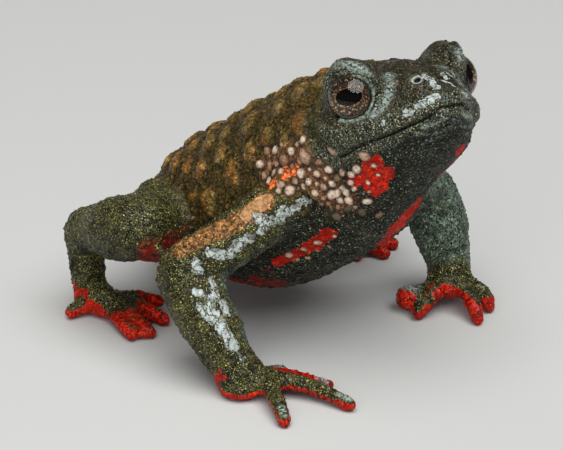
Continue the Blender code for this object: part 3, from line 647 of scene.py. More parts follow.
def marking_masks(places, outward, edges, label):
    """The markings of the skin, each a number from 0 to 1 at every vertex."""
    head = by_head(places)
    right = np.stack([places[:, 0], -np.abs(places[:, 1]), places[:, 2]], axis=1)
    part = part_masks(np.array(FLESH)[label], edges)
    on_head = ramp(head[:, 0], -3.6, -2.2) * part("head", "torso", times=4)
    limbs = part("upper_arm", "forearm", "thigh", "shank", "hand", "foot")
    trunk = np.clip(1.0 - on_head - limbs, 0.0, 1.0)
    red, tip_highlight = red_masks(places, outward, head, part)
    masks = {"on_head": on_head, "trunk": trunk, "red": red}
    masks["orange"] = stripes(right, SHOULDER_RED)
    masks["shoulder"] = stripes(right, SHOULDER)
    masks["ridge"] = stripe(right, ARM_RIDGE)
    masks["cream_ridge"] = stripe(right, CREAM_RIDGE)
    far = (places - HEAD_MIDDLE) @ HEAD_AXES[:, 1] > 0.15
    # The painted reflections of the wet skin, weaker on the far side of the head.
    on_snout = stripes(head, HEAD_WET_REFLECTIONS_BY_HEAD, 0.7) * np.where(far, 0.6, 1.0)
    masks["wet_reflection"] = np.maximum(stripes(places, ARM_WET_REFLECTIONS, 0.6), on_snout)
    # The pale mask is painted highlight: the brow band, the fold before the eye, the chin folds and the
    # finger tips.
    masks["pale"] = np.maximum(0.8 * stripes(head, PAINTED_HIGHLIGHTS_BY_HEAD, 0.9), tip_highlight)
    masks["pale"] = np.maximum(masks["pale"], 0.9 * stripes(head, CHIN_FOLDS_BY_HEAD, 0.8))
    masks["crown"] = on_head * ramp(outward[:, 2], 0.3, 0.75) * ramp(above_the_mouth(head), 0.8, 1.6)
    on_face = ramp(head[:, 0], -1.7, -1.2) * ramp(head[:, 1] + head[:, 0], 0.5, 1.0) * on_head
    masks["from_mouth"] = 1.0 - on_face * (1.0 - np.minimum(np.abs(above_the_mouth(head)), 1.0))
    masks["gold"] = on_head * ramp(-head[:, 0], 1.4, 2.4) * ramp(head[:, 2], -2.6, -1.2)
    # Painted shade: skin facing down on the trunk and limbs, and the chin below the mouth, gets the dark
    # underside speckle.
    below = ramp(-outward[:, 2], -0.1, 0.5) * np.clip(trunk + 0.5 * limbs, 0.0, 1.0)
    masks["shaded_underside"] = np.maximum(below, on_head * (1.0 - ramp(above_the_mouth(head), -1.1, 0.0)))
    # Where the thighs and the rear of the trunk face down: red skin, darkened as painted shade.
    masks["groin"] = ramp(-outward[:, 2], -0.2, 0.3) * np.maximum(
        part("thigh"), trunk * ramp(-places[:, 0], 1.0, 5.0) * (1.0 - ramp(places[:, 2], 5.0, 6.5)))
    masks["creased"], masks["crease_place"] = crease_masks(places, head, part)
    masks["from_lid"] = np.ones(len(places))
    masks["lid"] = np.zeros(len(places))
    for side in ("left", "right"):
        distance, angle, around = eye_polar(places, side)
        beyond = angle - lid_edge(around, side)
        near = (distance < 2.0) & (beyond < 0.6)
        masks["from_lid"] = np.where(near, beyond, masks["from_lid"])
        masks["lid"] = np.where(near, 1.0 - ramp(distance, 1.5, 1.66), masks["lid"])
    inward = np.array((0.6, 0.6, -0.3))
    sheltered = ramp(outward @ inward, 0.35, 0.75) * part("upper_arm", "forearm")
    masks["teal"] = np.maximum(part("left_upper_arm", "left_forearm"), 0.8 * sheltered)
    return masks


def add_attribute(data, name, values):
    layer = data.attributes.new(name, "FLOAT", "POINT")
    layer.data.foreach_set("value", np.ascontiguousarray(values, dtype=np.float32))


def bead_lift(places, outward, masks):
    """Adds the masks of beads and pebbles, and gives how far they lift each vertex."""
    beads, pebbles = Beads(places, outward), Beads(places, outward)
    beads.place_all(BEADS, BEAD_SEED)
    beads.spread(masks["shoulder"] * (1.0 - masks["orange"]), **SHOULDER_BEADS)
    covered = beads.dome * 4.0 + masks["lid"] + masks["cream_ridge"] + masks["wet_reflection"] * 0.7
    plain = 1.0 - np.clip(covered, 0.0, 1.0)
    chest = masks["shaded_underside"] * masks["trunk"] * ramp(places[:, 0], -3.0, -0.5)
    pebbles.spread(plain * chest, **CHEST_PEBBLES)
    pebbles.spread(plain * (1.0 - masks["on_head"]) * 0.7, **BODY_PEBBLES)
    masks["beads"], masks["tone"] = beads.dome, beads.tone
    masks["pebbles"] = pebbles.dome
    return np.maximum(beads.lift, pebbles.lift)


def granular_mask(places, outward, masks):
    """How thickly the fine granules lie: off the beads, lids and nostrils, and not underneath."""
    by_nostril = 1.0 - ramp(masks["from_nostril"], 0.3, 0.4)
    bare = np.maximum.reduce([masks["lid"], masks["cream_ridge"], by_nostril, masks["beads"]])
    granular = (0.35 + 0.65 * (1.0 - masks["on_head"])) * (1.0 - bare) * (1.0 - 0.7 * masks["wet_reflection"])
    return granular * ramp(outward[:, 2], -0.9, -0.5) * ramp(places[:, 2], 0.5, 1.0)


def make_skin():
    """The whole skin: closed, sculpted, marked, and back in metres in the row frame."""
    mesh, owner = joined_solids()
    solids = BVHTree.FromBMesh(mesh)
    data = closed_skin(mesh, solids, owner)
    mesh.free()
    set_places(data, draw_in_the_lids(place_rows(data)))
    data = remeshed(data)
    set_places(data, smoothed(place_rows(data), edge_rows(data), 2))
    data = refined(data, fine_features(place_rows(data)))
    edges = edge_rows(data)
    places = smoothed(place_rows(data), edges, 2, 0.5 * fine_features(place_rows(data)))
    places = finish_the_lids(places)
    set_places(data, places)
    places, from_nostril = carve_the_face(places, outward_rows(data), edges)
    set_places(data, places)
    outward = outward_rows(data)
    _, label = nearest_solids(places, solids, owner)
    masks = marking_masks(places, outward, edges, label)
    masks["warts"] = ramp(relief_of(places, outward, edges, 60), 0.0, 0.08) * masks["trunk"]
    masks["from_nostril"] = np.minimum(from_nostril, 1.0)
    places = places + outward * bead_lift(places, outward, masks)[:, None]
    places[:, 2] = np.maximum(places[:, 2], 0.0)
    set_places(data, places)
    masks["granular"] = granular_mask(places, outward, masks)
    # Hollows of the skin, darkened in the material as painted shade.
    masks["creases"] = ramp(-relief_of(places, outward_rows(data), edges, 4), 0.002, 0.03)
    for name, values in masks.items():
        add_attribute(data, name, values)
    set_places(data, (places - BOX_MIDDLE) * MM)
    data.name = "toad_skin"
    data.shade_smooth()
    return link("toad_skin", data)


# Fine granules over the skin

GRANULES = {
    "Spacing": 0.26 * MM, "Per Square Metre": 30e6, "Least": 0.05 * MM, "Greatest": 0.1 * MM, "Seed": 4,
}
GRANULE_HEIGHT = 0.6            # as a share of its radius


def granule_tree(material):
    """Small low domes scattered over the skin, thickest where its "granular" attribute is 1."""
    tree = bpy.data.node_groups.new("toad_granule_spread", "GeometryNodeTree")
    tree.interface.new_socket(name="Skin", in_out="INPUT", socket_type="NodeSocketGeometry")
    for name in GRANULES:
        kind = "NodeSocketInt" if name == "Seed" else "NodeSocketFloat"
        tree.interface.new_socket(name=name, in_out="INPUT", socket_type=kind)
    tree.interface.new_socket(name="Granules", in_out="OUTPUT", socket_type="NodeSocketGeometry")
    make = Maker(tree)
    start = make.node("NodeGroupInput").outputs
    where = make.node("GeometryNodeInputNamedAttribute", {"Name": "granular"}, data_type="FLOAT")
    spread = make.node("GeometryNodeDistributePointsOnFaces", {
        "Mesh": start["Skin"], "Distance Min": start["Spacing"], "Density Max": start["Per Square Metre"],
        "Density Factor": where.outputs["Attribute"], "Seed": start["Seed"],
    }, distribute_method="POISSON")
    size = make.node("FunctionNodeRandomValue", {
        "Min": start["Least"], "Max": start["Greatest"], "Seed": start["Seed"],
    }, data_type="FLOAT").outputs[1]
    low = make.times(size, GRANULE_HEIGHT)
    scale = make.node("ShaderNodeCombineXYZ", {"X": size, "Y": size, "Z": low}).outputs[0]
    tone = make.node("FunctionNodeRandomValue", {"Seed": 9}, data_type="FLOAT").outputs[1]
    marked = make.node("GeometryNodeStoreNamedAttribute", {
        "Geometry": spread.outputs["Points"], "Name": "granule", "Value": tone,
    }, data_type="FLOAT", domain="POINT")
    ball = make.node("GeometryNodeMeshIcoSphere", {"Radius": 1.0, "Subdivisions": 1})
    balls = make.node("GeometryNodeInstanceOnPoints", {
        "Points": marked.outputs["Geometry"], "Instance": ball.outputs["Mesh"],
        "Rotation": spread.outputs["Rotation"], "Scale": scale,
    })
    real = make.node("GeometryNodeRealizeInstances", {"Geometry": balls.outputs["Instances"]})
    smooth = make.node("GeometryNodeSetShadeSmooth", {"Geometry": real.outputs["Geometry"]})
    coloured = make.node("GeometryNodeSetMaterial", {
        "Geometry": smooth.outputs["Geometry"], "Material": material,
    })
    make.node("NodeGroupOutput", {"Granules": coloured.outputs["Geometry"]})
    return tree


def scatter_granules(skin, material):
    granules = link("toad_granules", skin.data.copy())
    modifier = granules.modifiers.new("granules", "NODES")
    modifier.node_group = granule_tree(material)
    for socket in modifier.node_group.interface.items_tree:
        if socket.in_out == "INPUT" and socket.name in GRANULES:
            modifier[socket.identifier] = GRANULES[socket.name]
    finished = evaluated_mesh(granules)
    spread_over = granules.data
    granules.data = finished
    bpy.data.meshes.remove(spread_over)
    return granules


# Shader node groups

FLOAT, COLOUR, VECTOR = "NodeSocketFloat", "NodeSocketColor", "NodeSocketVector"


def new_group(name, inputs, outputs):
    """A shader group and its maker. An input is given by its kind, or by the value that a float has."""
    group = bpy.data.node_groups.new(name, "ShaderNodeTree")
    for socket, given in inputs.items():
        kind = given if isinstance(given, str) else FLOAT
        made = group.interface.new_socket(name=socket, in_out="INPUT", socket_type=kind)
        if given is not kind:
            made.default_value = given
    for socket, kind in outputs.items():
        group.interface.new_socket(name=socket, in_out="OUTPUT", socket_type=kind)
    return group, Maker(group)


class Maker:
    """Adds and joins nodes in one tree."""

    def __init__(self, tree):
        self.tree = tree

    def node(self, kind, values=None, **settings):
        made = self.tree.nodes.new(kind)
        for name, value in settings.items():
            setattr(made, name, value)
        self.fill(made, values or {})
        return made

    def fill(self, node, values):
        for socket, value in values.items():
            self.feed(node.inputs[socket], value)

    def feed(self, socket, value):
        if isinstance(value, bpy.types.NodeSocket):
            self.tree.links.new(value, socket)
        elif isinstance(value, (tuple, list)) and socket.type == "RGBA" and len(value) == 3:
            socket.default_value = (*value, 1.0)
        else:
            socket.default_value = value

    def maths(self, operation, first, second=0.0, clamp=False):
        made = self.node("ShaderNodeMath", {0: first, 1: second}, operation=operation)
        made.use_clamp = clamp
        return made.outputs[0]

    def times(self, first, second):
        return self.maths("MULTIPLY", first, second)

    def larger(self, first, second):
        return self.maths("MAXIMUM", first, second)

    def vector_maths(self, operation, first, second):
        made = self.node("ShaderNodeVectorMath", {0: first, 1: second}, operation=operation)
        return made.outputs[0]

    def without(self, mask, other, share=1.0):
        """The mask, less wherever the other one is."""
        left = self.maths("SUBTRACT", 1.0, self.times(other, share), clamp=True)
        return self.times(mask, left)

    def ranged(self, value, low, high, new_low=0.0, new_high=1.0):
        """The value, taken smoothly from one range to another."""
        made = self.node(
            "ShaderNodeMapRange",
            {"Value": value, "From Min": low, "From Max": high, "To Min": new_low, "To Max": new_high},
            interpolation_type="SMOOTHSTEP",
        )
        return made.outputs["Result"]

    def band(self, value, start, full, fade, end):
        """1 where the value is between full and fade, falling to 0 at start and at end."""
        return self.times(self.ranged(value, start, full), self.ranged(value, end, fade))

    def mixed(self, share, first, second):
        made = self.node("ShaderNodeMix", {"Factor": share, 6: first, 7: second}, data_type="RGBA")
        return made.outputs[2]

    def attribute(self, name):
        return self.node("ShaderNodeAttribute", attribute_name=name).outputs["Fac"]

    def noise(self, place, scale, detail=2.0, roughness=0.5):
        made = self.node("ShaderNodeTexNoise", {
            "Vector": place, "Scale": scale, "Detail": detail, "Roughness": roughness,
        })
        return made.outputs["Fac"]

    def patches(self, place, scale, low, high, detail=2.0, roughness=0.5, least=0.0, most=1.0):
        """Noise taken smoothly from a least to a greatest value."""
        return self.ranged(self.noise(place, scale, detail, roughness), low, high, least, most)

    def group(self, tree, values):
        return self.node("ShaderNodeGroup", values, node_tree=tree).outputs


def millimetre_group():
    """Object coordinates in millimetres."""
    group, make = new_group("toad_millimetres", {}, {"Place": VECTOR})
    place = make.node("ShaderNodeTexCoord").outputs["Object"]
    make.node("NodeGroupOutput", {"Place": make.vector_maths("MULTIPLY", place, (1 / MM,) * 3)})
    return group


def granule_group():
    """Fine rounded granules: their height, and a mask for painted shade that is 1 in each groove between
    them.
    """
    group, make = new_group(
        "toad_granules", {"Place": VECTOR, "Per Millimetre": 5.0}, {"Height": FLOAT, "Groove Shade": FLOAT},
    )
    start = make.node("NodeGroupInput").outputs
    wobble = make.node("ShaderNodeTexNoise", {"Vector": start["Place"], "Scale": 3.0}).outputs["Color"]
    moved = make.vector_maths("ADD", start["Place"], make.vector_maths("MULTIPLY", wobble, (0.25,) * 3))
    distance = make.node("ShaderNodeTexVoronoi", {
        "Vector": moved, "Scale": start["Per Millimetre"], "Smoothness": 0.35,
    }, feature="SMOOTH_F1").outputs["Distance"]
    make.node("NodeGroupOutput", {
        "Height": make.ranged(distance, 0.75, 0.05), "Groove Shade": make.ranged(distance, 0.42, 0.75),
    })
    return group


def broken_edge_group():
    """A soft mask made crisp, with an edge that noise breaks up, and the rim just outside it."""
    group, make = new_group(
        "toad_broken_edge",
        {"Place": VECTOR, "Mask": 0.0, "Per Millimetre": 3.0, "Breakup": 0.6, "Softness": 0.1},
        {"Mask": FLOAT, "Rim": FLOAT},
    )
    start = make.node("NodeGroupInput").outputs
    noise = make.noise(start["Place"], start["Per Millimetre"], 3.0, 0.55)
    spread = make.times(make.times(make.maths("SUBTRACT", noise, 0.5), start["Breakup"]), 3.0)
    total = make.maths("ADD", start["Mask"], spread)
    low = make.maths("SUBTRACT", 0.5, start["Softness"])
    high = make.maths("ADD", 0.5, start["Softness"])
    present = make.ranged(start["Mask"], 0.01, 0.12)
    mask = make.times(make.ranged(total, low, high), present)
    wider = make.ranged(total, make.maths("SUBTRACT", low, 0.3), make.maths("SUBTRACT", low, 0.05))
    rim = make.maths("SUBTRACT", make.times(wider, present), mask, clamp=True)
    make.node("NodeGroupOutput", {"Mask": mask, "Rim": rim})
    return group


def speckle_group():
    """Dense fine speckle of dark ground, base colour, and pale flecks of two hues."""
    group, make = new_group(
        "toad_speckle",
        {
            "Place": VECTOR, "Ground": COLOUR, "Base": COLOUR, "Fleck": COLOUR, "Other Fleck": COLOUR,
            "Per Millimetre": 9.0, "Amount": 0.5,
        },
        {"Color": COLOUR},
    )
    start = make.node("NodeGroupInput").outputs
    place, per_mm = start["Place"], start["Per Millimetre"]
    fine = make.patches(place, per_mm, 0.41, 0.57, roughness=0.7)
    coarse = make.patches(place, 1.1, 0.36, 0.6, roughness=0.6, least=0.4)
    colour = make.mixed(make.times(fine, coarse), start["Ground"], start["Base"])
    least = make.maths("SUBTRACT", 0.78, make.times(start["Amount"], 0.26))
    flecks = make.noise(place, make.times(per_mm, 1.25), 1.0)
    flecks = make.ranged(flecks, least, make.maths("ADD", least, 0.07))
    hue = make.patches(place, make.times(per_mm, 0.4), 0.42, 0.58, detail=3.0, roughness=0.8)
    fleck = make.mixed(hue, start["Fleck"], start["Other Fleck"])
    make.node("NodeGroupOutput", {"Color": make.mixed(flecks, colour, fleck)})
    return group


def crease_group():
    """Thin wavering creases: 1 along each, from the distance across them."""
    group, make = new_group(
        "toad_creases", {"Place": VECTOR, "Across": 0.0, "Amount": 0.0}, {"Mask": FLOAT},
    )
    start = make.node("NodeGroupInput").outputs
    waver = make.times(make.noise(start["Place"], 1.1, 3.0, 0.6), 1.3)
    across = make.maths("ADD", start["Across"], waver)
    wave = make.maths("SINE", make.times(across, 2 * math.pi / CREASE_SPACING))
    broken = make.patches(start["Place"], 1.9, 0.38, 0.52)
    line = make.times(make.ranged(wave, 0.55, 0.95), broken)
    make.node("NodeGroupOutput", {"Mask": make.times(line, start["Amount"])})
    return group


def new_material(name):
    material = bpy.data.materials.new(name)
    material.use_nodes = True
    tree = material.node_tree
    tree.nodes.clear()
    make = Maker(tree)
    shader = make.node("ShaderNodeBsdfPrincipled")
    end = make.node("ShaderNodeOutputMaterial")
    tree.links.new(shader.outputs["BSDF"], end.inputs["Surface"])
    return material, make, shader


# The skin's speckles: dark ground, base, fleck, other fleck, amount of flecks, and how fine.
SPECKLES = {
    "limbs": (
        (0.003, 0.003, 0.001), (0.075, 0.068, 0.022), (0.42, 0.36, 0.06), (0.24, 0.28, 0.17), 0.66, 10.5,
    ),
    "trunk": (
        (0.016, 0.01, 0.002), (0.085, 0.056, 0.014), (0.17, 0.12, 0.03), (0.17, 0.085, 0.02), 0.5, 6.0,
    ),
    "teal": ((0.01, 0.014, 0.01), (0.13, 0.18, 0.13), (0.3, 0.42, 0.32), (0.34, 0.36, 0.22), 0.6, 8.0),
    "on_head": (
        (0.003, 0.003, 0.002), (0.075, 0.072, 0.042), (0.24, 0.34, 0.26), (0.38, 0.34, 0.2), 0.74, 9.5,
    ),
    "crown": (
        (0.003, 0.003, 0.001), (0.042, 0.034, 0.017), (0.16, 0.19, 0.13), (0.26, 0.18, 0.08), 0.64, 9.0,
    ),
    "gold": (
        (0.005, 0.004, 0.001), (0.06, 0.046, 0.009), (0.5, 0.35, 0.04), (0.24, 0.24, 0.09), 0.68, 7.5,
    ),
    # The underside: a near-black ground and base as painted shade, with pale chest flecks of its own.
    "shaded_underside": (
        (0.001, 0.001, 0.001), (0.02, 0.022, 0.012), (0.14, 0.24, 0.18), (0.28, 0.22, 0.13), 0.64, 8.0,
    ),
    "rust": ((0.11, 0.045, 0.008), (0.32, 0.14, 0.03), (0.5, 0.28, 0.11), (0.4, 0.17, 0.04), 0.4, 5.0),
    "tan": ((0.09, 0.055, 0.012), (0.24, 0.15, 0.045), (0.45, 0.32, 0.17), (0.32, 0.21, 0.07), 0.45, 5.0),
    "flesh": ((0.04, 0.018, 0.008), (0.24, 0.1, 0.045), (0.5, 0.25, 0.13), (0.5, 0.1, 0.03), 0.62, 5.0),
    "ridge": ((0.06, 0.027, 0.008), (0.3, 0.14, 0.045), (0.6, 0.3, 0.1), (0.42, 0.27, 0.14), 0.55, 6.5),
    "red": ((0.26, 0.002, 0.0), (0.62, 0.017, 0.002), (0.9, 0.15, 0.02), (0.85, 0.06, 0.008), 0.5, 6.5),
}
# Red of the down-facing groin with painted shade.
SHADED_GROIN_RED = (0.2, 0.008, 0.003)
CREAM = (0.44, 0.225, 0.095)
ORANGES = ((0.45, 0.05, 0.01), (0.9, 0.24, 0.06))
PEBBLE_GAIN = (2.3, 2.2, 2.0)   # how much lighter a pebble is than the skin round it
DARK_BEADS = ((0.07, 0.08, 0.05), (0.36, 0.2, 0.11))
PALE_BEAD = (0.66, 0.53, 0.41)
# Painted shade round the foot of each bead.
BEAD_FOOT_SHADE = (0.05, 0.018, 0.008)
# Dark rim and milky colours of the painted reflections in the wet skin.
REFLECTION_RIM = (0.012, 0.012, 0.007)
MILKY_REFLECTION = ((0.2, 0.23, 0.2), (0.42, 0.45, 0.43))
# Colour of the painted highlights on the head's folds and the finger tips.
PAINTED_SHEEN = (0.3, 0.36, 0.31)
LID_RING, NOSTRIL_RING = (0.2, 0.26, 0.2), (0.4, 0.41, 0.34)
# Painted shade: near-black lines at the lids, nostril pits and mouth, and near-black in each groove of the
# skin.
SHADE_LINE, GROOVE_SHADE = (0.004, 0.004, 0.003), (0.005, 0.005, 0.003)


class SkinMaker(Maker):
    """Lays the skin's markings over one another in its material."""

    def __init__(self, tree, groups):
        super().__init__(tree)
        self.groups = groups
        self.place = self.group(groups["place"], {})["Place"]
        self.colour = self.speckle("limbs")

    def speckle(self, name):
        ground, base, fleck, other, amount, per_mm = SPECKLES[name]
        return self.group(self.groups["speckle"], {
            "Place": self.place, "Ground": ground, "Base": base, "Fleck": fleck, "Other Fleck": other,
            "Per Millimetre": per_mm, "Amount": amount,
        })["Color"]

    def broken(self, name, per_mm, breakup, softness):
        """A marking with a broken edge, as its mask and the rim outside it."""
        return self.group(self.groups["edge"], {
            "Place": self.place, "Mask": self.attribute(name), "Per Millimetre": per_mm,
            "Breakup": breakup, "Softness": softness,
        })

    def lay(self, mask, colour):
        self.colour = self.mixed(mask, self.colour, colour)

    def lay_grounds(self):
        for name in ("trunk", "teal", "on_head", "crown", "gold"):
            self.lay(self.attribute(name), self.speckle(name))
        hue = self.patches(self.place, 0.5, 0.42, 0.56, detail=1.0)
        wart = self.mixed(hue, self.speckle("rust"), self.speckle("tan"))
        self.lay(self.times(self.broken("warts", 2.2, 0.7, 0.6)["Mask"], 0.7), wart)
        # Painted shade: the downward-facing underside is laid dark.
        self.lay(self.broken("shaded_underside", 1.5, 0.4, 0.25)["Mask"], self.speckle("shaded_underside"))

    def lay_markings(self):
        blotches = self.patches(self.place, 0.5, 0.5, 0.55)
        # Painted shade: the groin's red is laid dark and blotched.
        self.lay(self.times(self.attribute("groin"), blotches), SHADED_GROIN_RED)
        self.lay(self.times(self.attribute("shoulder"), 0.8), self.speckle("flesh"))
        self.lay(self.broken("ridge", 2.5, 0.6, 0.12)["Mask"], self.speckle("ridge"))
        self.lay(self.broken("cream_ridge", 2.0, 0.3, 0.15)["Mask"], CREAM)
        self.lay(self.broken("red", 2.8, 0.55, 0.12)["Mask"], self.speckle("red"))
        streaks = self.mixed(self.patches(self.place, 5.0, 0.4, 0.6), *ORANGES)
        self.lay(self.broken("orange", 4.0, 1.0, 0.15)["Mask"], streaks)

    def lay_grain(self):
        """Pebbles, granules and beads, each bead with painted shade round its foot."""
        pebbles = self.times(self.ranged(self.attribute("pebbles"), 0.1, 0.9), 0.5)
        raised = self.larger(pebbles, self.times(self.attribute("granule"), 0.6))
        lighter = self.vector_maths("MULTIPLY", self.colour, PEBBLE_GAIN)
        self.lay(self.without(raised, self.attribute("red"), 0.9), lighter)
        beads, tone = self.attribute("beads"), self.attribute("tone")
        dark = self.mixed(self.ranged(tone, 0.1, 0.5), *DARK_BEADS)
        pale = self.mixed(self.ranged(tone, 0.45, 0.9), dark, PALE_BEAD)
        mottle = self.patches(self.place, 5.5, 0.35, 0.55, roughness=0.6, least=0.45)
        # Painted shade: a dark ring where each bead meets the skin.
        self.lay(self.times(self.ranged(beads, 0.0, 0.12), 0.5), BEAD_FOOT_SHADE)
        self.lay(self.times(self.ranged(beads, 0.12, 0.85), mottle), pale)

    def lay_wet_reflections(self):
        """Painted reflections in the wet skin: milky pale patches broken by veins, with a dark rim, and the
        painted sheen. Gives the mask of the painted reflections.
        """
        edge = self.broken("wet_reflection", 3.0, 0.95, 0.12)
        vein = self.maths("SUBTRACT", self.noise(self.place, 1.9, 3.0, 0.6), 0.5)
        vein = self.ranged(self.maths("ABSOLUTE", vein), 0.034, 0.012)
        wet_reflection = self.without(edge["Mask"], vein, 0.9)
        wet_reflection = self.without(wet_reflection, self.ranged(self.attribute("pebbles"), 0.02, 0.12), 0.55)
        cloud = self.patches(self.place, 4.5, 0.35, 0.62, detail=3.0, roughness=0.6)
        # Painted reflection: a dark rim round each patch, then milky pale colour.
        self.lay(self.times(edge["Rim"], 0.75), REFLECTION_RIM)
        self.lay(wet_reflection, self.mixed(cloud, *MILKY_REFLECTION))
        # Painted highlight: a speckled pale sheen over the pale mask.
        glints = self.patches(self.place, 8.0, 0.4, 0.56, roughness=0.6)
        self.lay(self.times(self.attribute("pale"), glints), PAINTED_SHEEN)
        return wet_reflection

    def lay_lines(self):
        """Pale rings of the lids and nostrils, and painted shade as dark lines at the lids, in the nostril
        pits and along the mouth line.
        """
        from_lid, lid, from_nostril = map(self.attribute, ("from_lid", "lid", "from_nostril"))
        ring = self.times(self.band(from_lid, 0.02, 0.045, 0.075, 0.1), lid)
        dots = self.patches(self.place, 8.0, 0.4, 0.52, detail=1.0, least=0.35)
        self.lay(self.times(ring, dots), LID_RING)
        self.lay(self.band(from_nostril, 0.19, 0.23, 0.25, 0.31), NOSTRIL_RING)
        # Painted shade: a dark line in the gap between lid and ball and in the crease just outside the lid's
        # ring, the nostril pit, and the mouth line.
        line = self.times(self.band(from_lid, 0.085, 0.11, 0.13, 0.17), 0.85)
        line = self.larger(line, self.ranged(from_lid, 0.035, 0.015))
        dark = self.larger(self.times(line, lid), self.ranged(from_nostril, 0.2, 0.16))
        dark = self.larger(dark, self.ranged(self.attribute("from_mouth"), 0.075, 0.035))
        self.lay(dark, SHADE_LINE)

    def surface(self, wet_reflection):
        """Painted shade in each groove, wrinkle and crease over the colour, and the values of the shader's
        inputs.
        """
        fine, coarse = (
            self.group(self.groups["granules"], {"Place": self.place, "Per Millimetre": per_mm})
            for per_mm in (6.5, 2.6)
        )
        wrinkles = self.group(self.groups["creases"], {
            "Place": self.place, "Across": self.attribute("crease_place"),
            "Amount": self.attribute("creased"),
        })["Mask"]
        beads = self.attribute("beads")
        # Painted shade: the skin is darkened nearly to black in each groove between granules, along the
        # wrinkles and in the hollows.
        groove_shade = self.without(self.times(self.without(fine["Groove Shade"], beads), 0.4), wet_reflection)
        groove_shade = self.larger(groove_shade, self.times(wrinkles, 0.8))
        groove_shade = self.larger(groove_shade, self.times(self.attribute("creases"), 0.75))
        self.lay(groove_shade, GROOVE_SHADE)
        rough = self.patches(self.place, 1.4, 0.4, 0.62, detail=3.0, least=0.24, most=0.45)
        rough = self.maths("ADD", rough, self.times(self.attribute("shaded_underside"), 0.35))
        height = self.times(self.without(fine["Height"], beads, 0.7), 0.6)
        height = self.without(self.maths("ADD", height, coarse["Height"]), wet_reflection, 0.7)
        height = self.maths("SUBTRACT", height, self.times(wrinkles, 1.2))
        bump = self.node("ShaderNodeBump", {"Height": height, "Strength": 0.9, "Distance": 0.06 * MM})
        return {
            "Base Color": self.colour, "Roughness": self.without(rough, wet_reflection, 0.4),
            "Normal": bump.outputs["Normal"], "Specular IOR Level": 0.2,
        }


def skin_material(groups):
    """Speckled, warty, moist skin with its red, cream and orange markings."""
    material, make, shader = new_material("toad_skin")
    skin = SkinMaker(make.tree, groups)
    skin.lay_grounds()
    skin.lay_markings()
    skin.lay_grain()
    wet_reflection = skin.lay_wet_reflections()
    skin.lay_lines()
    skin.fill(shader, skin.surface(wet_reflection))
    return material


# Eyes

def ring_body(name, rings, side, values=None):
    """A closed body through rings of points about the eye's axis, in metres in the row frame."""
    middle, turn = eye_frame(side)
    count = len(rings[0])
    rows = np.vstack(rings)
    rows = np.vstack([rows, rings[0].mean(axis=0), rings[-1].mean(axis=0)])
    faces = []
    for ring in range(len(rings) - 1):
        for index in range(count):
            after = (index + 1) % count
            low, high = ring * count, (ring + 1) * count
            faces.append((low + index, low + after, high + after, high + index))
    start, end = len(rows) - 2, len(rows) - 1
    high = (len(rings) - 1) * count
    for index in range(count):
        after = (index + 1) % count
        faces.append((start, after, index))
        faces.append((end, high + index, high + after))
    places = (middle + rows @ turn.T - BOX_MIDDLE) * MM
    data = bpy.data.meshes.new(name)
    data.from_pydata(places.tolist(), [], faces)
    data.shade_smooth()
    if values is not None:
        values = np.concatenate([values, [2.0, -1.0]])
        add_attribute(data, "from_pupil", values)
        for face in data.polygons:
            face.material_index = int(max(values[vertex] for vertex in face.vertices) < 0.01)
    return link(name, data)


CIRCLE_STEPS = 96
IRIS_FLECKS = ((0.22, 0.085, 0.016), (0.26, 0.18, 0.05))
IRIS_BLACK, IRIS_RIM = (0.002, 0.001, 0.001), (0.003, 0.002, 0.002)
PUPIL_RING, OUTER_RING = (0.27, 0.11, 0.028), (0.14, 0.07, 0.026)


def circle(radius, height):
    turn = np.linspace(0, 2 * math.pi, CIRCLE_STEPS, endpoint=False)
    return np.stack([radius * np.cos(turn), radius * np.sin(turn), np.full(CIRCLE_STEPS, height)], axis=1)


def eyeball(side):
    """The ball with a shallow iris dish in front and a deep pupil in its middle."""
    edge = math.asin(IRIS_RADIUS / EYE_RADIUS)
    rings, values = [], []
    for turn in np.linspace(math.pi - 0.05, edge, 28):
        rings.append(circle(EYE_RADIUS * math.sin(turn), EYE_RADIUS * math.cos(turn)))
        values.append(np.full(CIRCLE_STEPS, 2.0))
    level = EYE_RADIUS * math.cos(edge)
    outer = circle(IRIS_RADIUS, level)
    inner = outer * np.array((PUPIL[0] / IRIS_RADIUS, PUPIL[1] / IRIS_RADIUS, 1.0))
    for share in np.linspace(0.03, 1.0, 16):
        ring = outer + (inner - outer) * share
        ring[:, 2] = level - 0.03 - 0.09 * share + 0.05 * bell(share - 0.85, 0.12)
        rings.append(ring)
        values.append(np.full(CIRCLE_STEPS, 1.0 - share))
    for sink in (0.04, 0.15, 0.35):
        ring = inner * np.array((0.97, 0.97, 1.0))
        ring[:, 2] = level - 0.12 - sink
        rings.append(ring)
        values.append(np.full(CIRCLE_STEPS, -1.0))
    return ring_body(side + "_eyeball", rings, side, np.concatenate(values))


def cornea(side):
    """The clear front of the eye, filled through to behind the iris."""
    rings = [circle(0.9, -0.1), circle(1.2, 0.2)]
    for turn in np.linspace(1.1, 0.04, 24):
        rings.append(circle(CORNEA_RADIUS * math.sin(turn), CORNEA_RADIUS * math.cos(turn)))
    return ring_body(side + "_cornea", rings, side)


